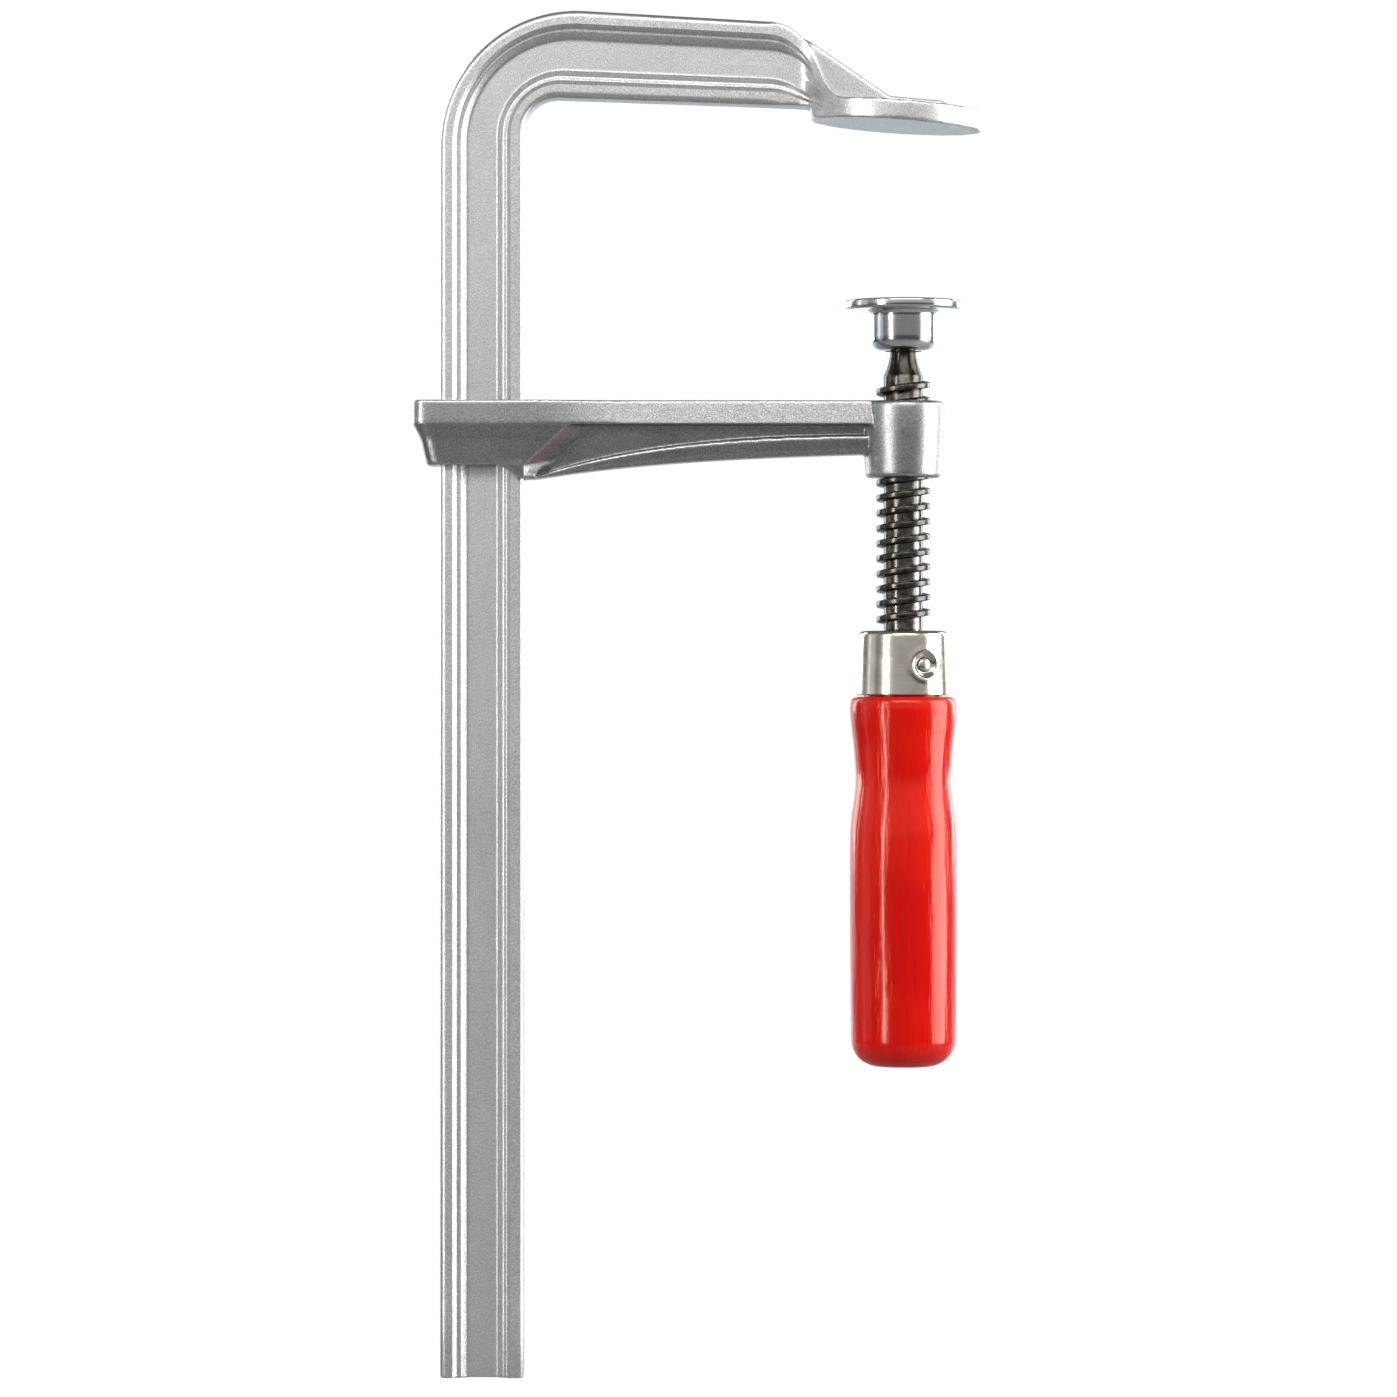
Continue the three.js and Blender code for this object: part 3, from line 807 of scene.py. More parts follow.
@dataclass(frozen=True)
class RedLacquer:
    """Thick red lacquer on turned beech: the long grain shows through as ripples and pores, and its hollows
    get painted shade.
    """

    name: str
    body: Colour = (0.60, 0.0035, 0.004, 1.0)
    warm: Colour = (0.68, 0.009, 0.004, 1.0)
    # Dark red of the grain streaks and pores, also the painted shade in hollows.
    deep: Colour = (0.36, 0.003, 0.003, 1.0)
    roughness: float = 0.13

    def build(self) -> bpy.types.Material:
        """Build the material."""
        d = Dresser(self.name)
        where = d.add("ShaderNodeTexCoord").outputs["Object"]
        long_grain = d.noise(d.scaled(where, (1.0, 1.0, 0.07)), 900.0, detail=3.0, roughness=0.6)
        waves = d.noise(d.scaled(where, (1.0, 1.0, 0.22)), 330.0, detail=2.0)
        pores = d.noise(d.scaled(where, (1.0, 1.0, 0.10)), 2600.0, detail=2.0)
        cloud = d.noise(where, 45.0, detail=2.0)
        colour = d.blend(d.spread(cloud, 0.35, 0.65, 0.0, 1.0), self.body, self.warm)
        colour = d.blend(d.spread(long_grain, 0.52, 0.75, 0.0, 0.28), colour, self.deep)
        pore = d.spread(pores, 0.62, 0.74, 0.0, 1.0)
        colour = d.blend(d.math("MULTIPLY", pore, 0.3), colour, self.deep)
        marks = d.effect(Effects.handling(), Amount=0.08)
        painted_light = d.effect(Effects.painted_edges_and_hollows(), Amount=0.4, Spread=0.10)
        # Painted shade in hollows.
        colour = d.blend(painted_light.outputs["Hollow Shade"], colour, self.deep)
        wavy = d.spread(waves, 0.3, 0.7, self.roughness, self.roughness + 0.07)
        gloss = d.math("ADD", wavy, marks.outputs["Gloss"])
        normal = d.relief(waves, 0.0005, 0.5)
        normal = d.relief(long_grain, 0.00022, 0.5, normal)
        normal = d.relief(d.math("SUBTRACT", 1.0, pore), 0.00005, 0.3, normal)
        return d.finish(
            Base_Color=colour, Metallic=0.0, Roughness=gloss, Normal=normal, IOR=1.45, Coat_Weight=0.25,
            Coat_Roughness=0.07, Coat_Tint=(1.0, 0.75, 0.6, 1.0), Specular_Tint=(1.0, 0.62, 0.42, 1.0),
        )


@dataclass(frozen=True)
class PaleFloor:
    """Plain pale studio floor with a faint tooth, which fades out far from the clamp."""

    name: str = "pale floor"
    tone: Colour = (0.80, 0.80, 0.80, 1.0)
    tooth_tone: Colour = (0.76, 0.76, 0.76, 1.0)
    bounce_front: Colour = (0.10, 0.10, 0.10, 1.0)
    bounce_back: Colour = (0.84, 0.90, 0.92, 1.0)
    bounce_near: Colour = (0.26, 0.26, 0.26, 1.0)
    glow: float = 0.75
    fade_start: float = 0.7
    fade_end: float = 2.6
    near_reach: float = 0.42
    far_reach: float = 1.35

    def build(self) -> bpy.types.Material:
        """Build the material. What the clamp sees of the floor is darker than what the camera sees."""
        d = Dresser(self.name)
        where = d.add("ShaderNodeTexCoord").outputs["Object"]
        seen = d.add("ShaderNodeLightPath").outputs["Is Camera Ray"]
        tooth = d.noise(where, 400.0, detail=2.0)
        tone = d.blend(d.spread(tooth, 0.3, 0.7, 0.0, 1.0), self.tone, self.tooth_tone)
        away = d.add("ShaderNodeVectorMath", operation="LENGTH")
        d.wire(where, away.inputs[0])
        shown = d.spread(away.outputs["Value"], self.fade_start, self.fade_end, 1.0, 0.0)
        parts = d.add("ShaderNodeSeparateXYZ")
        d.wire(where, parts.inputs[0])
        to_back = d.spread(parts.outputs[1], 0.0, self.far_reach, 0.0, 1.0)
        bounce = d.blend(to_back, self.bounce_front, self.bounce_back)
        close_by = d.spread(away.outputs["Value"], self.near_reach, self.far_reach, 1.0, 0.0)
        bounce = d.blend(close_by, bounce, self.bounce_near)
        return d.finish(
            Base_Color=d.blend(seen, bounce, tone), Roughness=0.7, Alpha=shown, Specular_IOR_Level=0.2,
            Emission_Color=(1, 1, 1, 1), Emission_Strength=d.math("MULTIPLY", seen, self.glow),
        )


# ---------------------------------------------------------------- forgings


@dataclass(frozen=True)
class GrooveStep:
    """One step of the rail's groove: how far its foot lies from the bar's edge, its slope and depth."""

    margin: float
    slope: float
    depth: float


@dataclass
class RailForging:
    """Grooved rail, its bend, the fixed arm, the gusset and the oval jaw, forged in one piece."""

    throat_depth: float = 100.0
    rail_drop: float = 329.6
    width: float = 22.0
    thickness: float = 10.5
    upper: GrooveStep = GrooveStep(4.5, 1.1, 1.1)
    floor: GrooveStep = GrooveStep(7.1, 1.6, 1.5)
    inner_bend: float = 9.0
    outer_bend: float = 36.0
    arm_height: float = 22.9
    arm_under: float = 7.3
    top_slope: float = 3.3
    under_slope: float = 2.0
    jaw_length: float = 45.0
    jaw_width: float = 40.0
    jaw_thickness: float = 5.3
    jaw_centre: float = -1.9
    jaw_slant: float = 4.0
    neck_height: float = 20.3
    neck_run: float = 11.5
    gusset_thickness: float = 5.2
    gusset_foot: float = -3.6
    ridge: float = 2.4
    ridge_end: float = 10.0
    blank_start: float = -62.0
    seam: float = -50.0
    skin: float = 0.34
    rounding_passes: int = 12
    bend_steps: int = 40
    end_rounding: float = 0.6
    fillet_start: float = -30.5
    fillet_end: float = -21.0
    edge_radius: float = 1.5
    seam_play: float = 0.002
    rail_steps: int = 20
    bed_insets: tuple[float, ...] = (0.25, 0.5, 0.75, 0.98)

    @property
    def inner(self) -> float:
        """Rail's edge towards the screw."""
        return -self.throat_depth

    @property
    def outer(self) -> float:
        """Rail's far edge."""
        return -self.throat_depth - self.width

    @property
    def jaw_back(self) -> float:
        """Back end of the oval jaw."""
        return self.jaw_centre - self.jaw_length / 2

    @property
    def jaw_tip(self) -> float:
        """Tip of the oval jaw."""
        return self.jaw_centre + self.jaw_length / 2

    @property
    def shoulder(self) -> float:
        """Where the arm's top edge starts to dip."""
        return self.jaw_back - self.neck_run

    @property
    def inner_centre(self) -> Point:
        """Centre of the bend's inner arc."""
        return self.inner + self.inner_bend, self.arm_under - self.inner_bend

    @property
    def outer_centre(self) -> Point:
        """Centre of the bend's outer arc."""
        return self.outer + self.outer_bend, self.arm_under + self.arm_height - self.outer_bend

    def top_edge(self, x: float) -> float:
        """Height of the fixed arm's top edge at x."""
        slope = math.radians(self.top_slope)
        start = self.outer_centre[0] + self.outer_bend * math.sin(slope)
        return self.outer_centre[1] + self.outer_bend * math.cos(slope) - (x - start) * math.tan(slope)

    def under_edge(self, x: float) -> float:
        """Height of the fixed arm's lower edge at x."""
        slope = math.radians(self.under_slope)
        start = self.inner_centre[0] + self.inner_bend * math.sin(slope)
        return self.inner_centre[1] + self.inner_bend * math.cos(slope) - (x - start) * math.tan(slope)

    def jaw_face(self, x: float) -> float:
        """Height of the clamping face at x."""
        return -x * math.tan(math.radians(self.jaw_slant))

    def jaw_top(self, x: float) -> float:
        """Height of the jaw's upper face at x."""
        return self.jaw_face(x) + self.jaw_thickness / math.cos(math.radians(self.jaw_slant))

    def side_outline(self) -> list[Point]:
        """Side view of the arm's end, the neck and the jaw."""
        pull = self.neck_run / 2
        neck = (self.jaw_back, self.neck_height)
        landing = self.jaw_back + self.jaw_length / 5
        line = [(self.blank_start, self.under_edge(self.blank_start))]
        line += [(x, self.top_edge(x)) for x in (self.blank_start, self.shoulder)]
        line += bezier([
            line[-1], (self.shoulder + pull, self.top_edge(self.shoulder + pull)),
            (neck[0] - pull * 0.4, neck[1] + pull * 0.6), neck,
        ], 12)
        line += bezier([
            neck, (neck[0] + pull * 0.5, neck[1] - pull),
            (landing - pull, self.jaw_top(landing - pull)), (landing, self.jaw_top(landing)),
        ], 12)
        line += [(self.jaw_tip, self.jaw_top(self.jaw_tip)), (self.jaw_tip, self.jaw_face(self.jaw_tip))]
        heel = (self.jaw_back, self.jaw_face(self.jaw_back))
        line += [(heel[0] + 2.2, self.jaw_face(heel[0] + 2.2))]
        line += bezier([line[-1], heel, (heel[0], heel[1] + 1.6)], 5)
        return line + [(self.jaw_back, self.under_edge(self.jaw_back))]

    def half_width(self, x: float) -> float:
        """Half of the forging's width at x: the bar, a fillet, and the oval jaw."""
        share = (x - self.jaw_centre) / (self.jaw_length / 2)
        oval = self.jaw_width / 2 * math.sqrt(max(0.0, 1 - share * share))
        bar = self.thickness / 2
        if x < self.fillet_start:
            return bar
        if x > self.fillet_end:
            return oval
        reach = (x - self.fillet_start) / (self.fillet_end - self.fillet_start)
        end_share = (self.fillet_end - self.jaw_centre) / (self.jaw_length / 2)
        end = self.jaw_width / 2 * math.sqrt(1 - end_share * end_share)
        return bar + (end - bar) * reach ** 3.2

    def plan_outline(self) -> list[Point]:
        """Plan of the bar that widens into the oval jaw."""
        half = [(self.blank_start - 2, self.thickness / 2)]
        half += [(x, self.half_width(x)) for x in np.linspace(self.fillet_start, self.fillet_end, 12)]
        start = math.acos((self.fillet_end - self.jaw_centre) / (self.jaw_length / 2))
        for i in range(1, 40):
            turn = start * (1 - i / 40)
            half.append((
                self.jaw_centre + self.jaw_length / 2 * math.cos(turn), self.jaw_width / 2 * math.sin(turn),
            ))
        return half + [(self.jaw_tip, 0.0)] + [(x, -y) for x, y in reversed(half)]

    def gusset_outline(self) -> list[Point]:
        """Side view of the web between the arm's top and the jaw, and its low ridge."""
        back = self.shoulder + 6
        return [
            (back, self.under_edge(back) + self.width / 3),
            (back, self.top_edge(back) - 2.2),
            (self.jaw_back, self.neck_height + 1.9),
            (self.gusset_foot, self.jaw_top(self.gusset_foot) + self.ridge),
            (self.ridge_end, self.jaw_top(self.ridge_end) + self.ridge * 0.9),
            (self.ridge_end + 6, self.jaw_top(self.ridge_end) - 1),
            (self.jaw_back, self.jaw_top(self.jaw_back) - 1),
        ]

    def groove_outline(self, margin: float) -> list[Point]:
        """Outline of the groove at one of its levels, from the blank's start to where it runs out in the jaw.

        Args:
            margin: Distance to the bar's edges.

        Returns:
            Its points, along the top and back along the bottom.
        """
        open_end = self.blank_start - 6
        deep = (margin - self.upper.margin) / (self.floor.margin - self.upper.margin)
        top_end = (self.jaw_back + 3.0 - 0.6 * deep, 10.6 - 1.2 * deep)
        under_end = (self.jaw_back + 5.8 - 1.0 * deep, 3.1 + 1.6 * deep)
        pull = self.shoulder + 6.3

        def top(x: float) -> float:
            """Upper line of the groove at x."""
            return self.top_edge(x) - margin / math.cos(math.radians(self.top_slope))

        def under(x: float) -> float:
            """Lower line of the groove at x."""
            return self.under_edge(x) + margin / math.cos(math.radians(self.under_slope))

        line = [(x, top(x)) for x in (open_end, -55.0, -46.0, -41.0, self.shoulder)]
        line += bezier([
            line[-1], (pull, top(pull)), (self.jaw_back - 1.2 + 0.4 * deep, 18.6 - deep), top_end,
        ], 26)
        line += bezier([line[-1], (self.jaw_back + 6.0, 6.6), under_end], 10)
        line += bezier([
            line[-1], (self.jaw_back - 0.1, 6.2 + 1.6 * deep), (pull, under(pull)),
            (self.shoulder, under(self.shoulder)),
        ], 26)
        return line + [(x, under(x)) for x in (-41.0, -46.0, -55.0, open_end)]

    def groove_cutter(self, side: int) -> bpy.types.Object:
        """Cutter for the whole stepped groove, with its edges eased. It runs out as the jaw widens.

        Args:
            side: 1 for the back of the bar, -1 for the front.

        Returns:
            The cutter.
        """
        upper, floor = self.upper, self.floor
        deep = upper.depth + floor.depth
        wall = rounded([
            (upper.margin - upper.slope - 0.9, -0.9, 0.0),
            (upper.margin - upper.slope - 0.05, 0.0, 0.45),
            (upper.margin, upper.depth, 0.3),
            (floor.margin - floor.slope, upper.depth, 0.3),
            (floor.margin, deep, 0.45),
            (floor.margin + 0.9, deep, 0.0),
        ], 3)

        def level(x: float, depth: float) -> float:
            """Distance from the mid-plane of a groove level at x."""
            share = 1 - 0.97 * smooth_step(self.jaw_back - 2.6, self.jaw_back + 5.2, x)
            return self.half_width(x) - (depth * share if depth > 0 else depth)

        rings = [
            [(x, side * level(x, depth), z) for x, z in self.groove_outline(margin)] for margin, depth in wall
        ]
        rings.insert(0, [(x, side * level(x, -6.0), z) for x, _, z in rings[0]])
        bed = self.groove_outline(wall[-1][0])
        for share in self.bed_insets:
            inset = [
                tuple((near + far) / 2 * share + near * (1 - share) for near, far in zip(here, across))
                for here, across in zip(bed, reversed(bed))
            ]
            rings.append([(x, side * level(x, deep), z) for x, z in inset])
        return Bench.loft("groove cutter", rings)

    def ease_corners(self, piece: bpy.types.Object) -> None:
        """Round the bar's four long edges further, as the rolled stock has them.

        Args:
            piece: Forged head before its grooves are cut.
        """
        face = self.thickness / 2
        for vertex in piece.data.vertices:
            x, y, z = vertex.co / MM
            radius = self.edge_radius * smooth_step(self.jaw_back - 4, self.jaw_back - 13, x)
            if radius < 0.3:
                continue
            above, below = self.top_edge(x) - z, z - self.under_edge(x)
            near = min(above, below)
            in_y, in_z = radius - (face - abs(y)), radius - near
            if in_y <= 0 or in_z <= 0:
                continue
            reach = math.hypot(in_y, in_z)
            if reach > radius:
                in_y, in_z = in_y * radius / reach, in_z * radius / reach
                y = math.copysign(face - radius + in_y, y)
                z = self.top_edge(x) - radius + in_z if above < below else self.under_edge(x) + radius - in_z
                vertex.co = Vector((x, y, z)) * MM

    def head(self) -> bpy.types.Object:
        """Arm's end, neck, gusset and jaw, forged from their blanks, with the grooves cut."""
        half = self.jaw_width / 2 + 1
        piece = Bench.prism("rail_forging", [(x, -half, z) for x, z in self.side_outline()], (0, 2 * half, 0))
        plan = Bench.prism("plan blank", [(x, y, -12) for x, y in self.plan_outline()], (0, 0, 60))
        Bench.combine(piece, plan, "INTERSECT")
        thin = self.gusset_thickness
        web = Bench.prism("gusset blank", [(x, -thin / 2, z) for x, z in self.gusset_outline()], (0, thin, 0))
        Bench.gather(piece, [web])
        Bench.forge(piece, self.skin, self.rounding_passes)
        self.ease_corners(piece)
        for side in (1, -1):
            Bench.combine(piece, self.groove_cutter(side), "DIFFERENCE")
        Bench.cut_at(piece, (self.seam, 0, 0), (-1, 0, 0), fill=False)
        return piece

    def stations(self) -> list[tuple[Point, Point]]:
        """Lower and upper point of each ring from the seam round the bend and down the rail."""
        edge_in = self.inner_centre[0] + self.inner_bend * math.sin(math.radians(self.under_slope))
        edge_out = self.outer_centre[0] + self.outer_bend * math.sin(math.radians(self.top_slope))
        line = []
        for i in range(1, 5):
            x_in = self.seam + (edge_in - self.seam) * i / 5
            x_out = self.seam + (edge_out - self.seam) * i / 5
            line.append(((x_in, self.under_edge(x_in)), (x_out, self.top_edge(x_out))))
        inside = arc(self.inner_centre, self.inner_bend, 90 - self.under_slope, 180, self.bend_steps)
        outside = arc(self.outer_centre, self.outer_bend, 90 - self.top_slope, 180, self.bend_steps)
        line += list(zip(inside, outside))
        top = min(self.inner_centre[1], self.outer_centre[1])
        for i in range(1, self.rail_steps + 1):
            z = top + (-self.rail_drop + self.end_rounding - top) * i / self.rail_steps
            line.append(((self.inner, z), (self.outer, z)))
        return line

    def draw_bar(self, piece: bpy.types.Object) -> None:
        """Carry the head's open ring on along the arm, round the bend and down to the rail's end.

        Args:
            piece: Forged head, open at the seam.
        """
        Bench.edit(piece)
        Bench.pick(piece, lambda place: abs(place.x - self.seam) < self.seam_play)
        shape = bmesh.from_edit_mesh(piece.data)
        order = shape.verts.layers.int.new("order")
        low, high = self.under_edge(self.seam), self.top_edge(self.seam)
        section = []
        for vertex in shape.verts:
            if vertex.select:
                vertex[order] = len(section)
                section.append(((vertex.co.z / MM - low) / (high - low), vertex.co.y / MM))
        bmesh.update_edit_mesh(piece.data)
        spots = []
        for inside, outside in self.stations():
            reach, rise = outside[0] - inside[0], outside[1] - inside[1]
            spots = [(inside[0] + reach * share, y, inside[1] + rise * share) for share, y in section]
            Bench.carry_on(piece, spots)
        centre_x = (self.inner + self.outer) / 2
        for turn in (30, 60, 90):
            draw = self.end_rounding * (1 - math.cos(math.radians(turn)))
            drop = self.end_rounding * math.sin(math.radians(turn))
            by_x = 1 - 2 * draw / self.width
            by_y = 1 - 2 * draw / self.thickness
            Bench.carry_on(piece, [
                (centre_x + (x - centre_x) * by_x, y * by_y, z - drop) for x, y, z in spots
            ])
        bpy.ops.mesh.edge_face_add()
        Bench.drop_order(piece)
        Bench.close(piece)

    def build(self, finish: bpy.types.Material) -> bpy.types.Object:
        """Build the forging and hang it on the frame."""
        piece = self.head()
        self.draw_bar(piece)
        Bench.soften(piece, 28)
        Bench.mount(piece, Body.RAIL, "rail", Slot.RAIL, finish)
        return piece


@dataclass
class SlidingArmForging:
    """Collar that runs on the rail, T-shaped arm with its lower rib, and the tapped boss."""

    top: float = -72.4
    rail_inner: float = -100.0
    rail_outer: float = -122.0
    rail_thickness: float = 10.5
    gap: float = 0.35
    wall: float = 4.4
    back: float = 6.8
    collar_height: float = 17.0
    collar_taper: float = 3.6
    collar_corner: float = 4.0
    flange_height: float = 6.4
    flange_half: float = 7.0
    web_half: float = 3.0
    rib_half: float = 5.0
    rib_height: float = 4.8
    nose_x: float = -96.6
    nose_z: float = -93.0
    tip_height: float = 14.1
    boss_top: float = 10.6
    boss_bottom: float = 9.7
    boss_height: float = 20.2
    bore: float = 5.75
    thread_radius: float = 7.1
    skin: float = 0.33
    rounding_passes: int = 7

    @property
    def collar_half(self) -> float:
        """Half of the collar's thickness."""
        return self.rail_thickness / 2 + self.gap + self.wall

    @property
    def collar_outer(self) -> float:
        """Back end of the collar."""
        return self.rail_outer - self.gap - self.back

    @property
    def collar_bottom(self) -> float:
        """Lower end of the collar."""
        return self.top - self.collar_height

    @property
    def boss_end(self) -> float:
        """Lower end of the boss."""
        return self.top - self.boss_height

    def plan(self, half_collar: float, half_beam: float, back: float, front: float) -> list[Point]:
        """Plan of the collar, which narrows gently to a beam.

        Args:
            half_collar: Half of its thickness at the collar.
            half_beam: Half of its thickness along the beam.
            back: Where it starts behind the rail.
            front: Where it ends.

        Returns:
            Its outline.
        """
        corner = min(self.collar_corner, half_collar - 1)
        half = bezier([(back, -half_collar + corner), (back, -half_collar), (back + corner, -half_collar)], 8)
        half = [(back, -half_collar + corner)] + half + bezier(
            [(-101, -half_collar), (-90, -half_collar), (-86, -half_beam), (-72, -half_beam)], 14,
        ) + [(front, -half_beam)]
        return half + [(x, -y) for x, y in reversed(half)]

    def lower_edge(self) -> list[Point]:
        """Curve of the arm's lower edge, from the nose to under the boss."""
        tip = (-self.boss_bottom, self.top - self.tip_height)
        bend = self.nose_x + (tip[0] - self.nose_x) * 0.35
        start = (self.nose_x, self.nose_z)
        return [start] + bezier([start, (bend, tip[1] - (tip[1] - start[1]) * 0.2), tip], 20)

    def flange(self) -> bpy.types.Object:
        """Top flange, from the collar to the boss, with a little draft."""
        rings = []
        for drop, lean in ((0, 0.45), (self.flange_height, 0)):
            half_beam = self.flange_half + 0.3 - 2 * lean
            plan = self.plan(self.collar_half - lean / 3, half_beam, self.collar_outer, 0)
            rings.append([(x, y, self.top - drop) for x, y in plan])
        return Bench.loft("sliding_arm_forging", rings)

    def collar(self) -> bpy.types.Object:
        """Lower part of the collar: set back under the flange, with a front that slants in to the web."""
        rings = []
        for z, back, half, waist, edge, end in (
            (self.top - self.flange_height + 1.2, self.collar_outer + 0.1, 9.9, -99.0, (-87.5, -8.5), -79.5),
            (self.top - self.flange_height - 0.1, self.collar_outer + 0.2, 9.85, -99.0, (-88.5, -8.5), -80.5),
            (-82.3, self.collar_outer + 1.9, 8.8, -99.0, (-92.0, -8.45), -84.5),
            (self.collar_bottom, self.collar_outer + self.collar_taper, 7.9, -104.0, (-100.0, -7.8), -93.5),
        ):
            side = [(back, -half + self.collar_corner)]
            side += bezier([side[0], (back, -half), (back + self.collar_corner, -half)], 8)
            side += [(waist, -half), edge, (end, -self.web_half + 0.2)]
            rings.append([(x, y, z) for x, y in side] + [(x, -y, z) for x, y in reversed(side)])
        return Bench.loft("collar blank", rings)

    def nose(self) -> bpy.types.Object:
        """Lip of the collar below its front edge, which runs into the rib."""
        rings = []
        for z, back, half, edge, middle, end in (
            (self.collar_bottom + 2.4, -110.0, 8.1, -100.6, -94.6, -90.5),
            (self.collar_bottom, -106.8, 8.0, -100.4, -95.4, -92.0),
            (-90.6, -103.9, 7.8, -100.2, -96.0, -93.5),
            (-92.0, -102.0, 7.4, -100.1, -96.9, -95.5),
            (self.nose_z, -101.0, 7.0, -100.0, -97.6, -96.7),
        ):
            side = [(back, -half), (edge, -half), (middle, -4.9), (end, -2.8)]
            rings.append([(x, y, z) for x, y in side] + [(x, -y, z) for x, y in reversed(side)])
        return Bench.loft("nose blank", rings)

    def web(self) -> bpy.types.Object:
        """Thin web under the flange, down to the rib, thicker at its top."""
        top = self.top - self.flange_height + 1
        side = [(-104.0, top), (-104.0, self.nose_z + 2), (-101.0, self.nose_z + 0.2)] + self.lower_edge()
        side += [(0, self.top - self.tip_height), (0, top)]
        half = self.web_half + 3
        piece = Bench.prism("web blank", [(x, -half, z) for x, z in side], (0, 2 * half, 0))
        for way in (-1, 1):
            Bench.cut_at(piece, (0, way * (self.web_half + 1.0), top - 1), (0, way, -0.16), fill=True)
        return piece

    def rib(self) -> bpy.types.Object:
        """Rib along the arm's lower edge, thinning out at the nose, with a slanted face."""
        low = self.lower_edge()
        tip = (-self.boss_bottom, self.top - self.tip_height + self.rib_height)
        bend = self.nose_x + (tip[0] - self.nose_x) * 0.35
        start = (self.nose_x, self.nose_z + 0.5)
        high = [start] + bezier([start, (bend, tip[1]), tip], 20)
        low = [(-100.6, self.nose_z)] + low + [(0, self.top - self.tip_height)]
        high = [(-100.6, self.nose_z + 0.6)] + high + [(0, tip[1])]
        rings = []
        for out, raised in ((-0.6, 0.8), (0.0, 0.25), (0.8, 0.0)):
            edge = [(a[0], a[1] + (b[1] - a[1]) * raised) for a, b in zip(low, high)]
            rings.append((self.rib_half - out, edge + high[::-1]))
        stations = [(-half, side) for half, side in rings] + [(half, side) for half, side in reversed(rings)]
        return Bench.loft("rib blank", [[(x, y, z) for x, z in side] for y, side in stations])

    def boss(self) -> bpy.types.Object:
        """Round boss at the arm's end."""
        high, low = self.boss_top + 0.25, self.boss_bottom + 0.25
        profile = rounded([
            (0, self.boss_end, 0), (low, self.boss_end, 1.0),
            (high, self.top - self.flange_height, 2.5), (high, self.top, 1.6), (0, self.top, 0),
        ], 5)
        return Bench.turn("boss blank", profile, 72)

    def slot_cutter(self) -> bpy.types.Object:
        """Cutter for the rail's slot, with eased mouths."""
        half = self.rail_thickness / 2 + self.gap
        low, high = self.rail_outer - self.gap, self.rail_inner + self.gap
        rings = []
        for z, grow in (
            (self.top + 4, 0.7), (self.top, 0.7), (self.top - 0.7, 0), (self.collar_bottom + 0.3, 0),
            (self.collar_bottom, 0.25), (self.nose_z - 4, 0.25),
        ):
            rings.append([
                (low - grow, -half - grow, z), (high + grow * 0.3, -half - grow, z),
                (high + grow * 0.3, half + grow, z), (low - grow, half + grow, z),
            ])
        return Bench.loft("slot cutter", rings)

    def bore_cutter(self) -> bpy.types.Object:
        """Cutter for the tapped bore, with a countersink at each mouth."""
        sink = self.thread_radius + 0.35
        deep = sink - self.bore
        return Bench.turn("bore cutter", [
            (0, self.boss_end - 3), (sink, self.boss_end - 3), (sink, self.boss_end),
            (self.bore, self.boss_end + deep), (self.bore, self.top - deep),
            (sink, self.top), (sink, self.top + 3), (0, self.top + 3),
        ], 96)

    def build(self, finish: bpy.types.Material) -> bpy.types.Object:
        """Build the forging and hang it on the frame."""
        piece = self.flange()
        Bench.gather(piece, [self.collar(), self.nose(), self.web(), self.rib(), self.boss()])
        Bench.forge(piece, self.skin, self.rounding_passes)
        Bench.combine(piece, self.slot_cutter(), "DIFFERENCE")
        Bench.combine(piece, self.bore_cutter(), "DIFFERENCE")
        Bench.soften(piece, 32)
        Bench.mount(piece, Body.ARM, "sliding_arm", Slot.FORGING, finish)
        return piece


# ---------------------------------------------------------------- screw and pressure plate


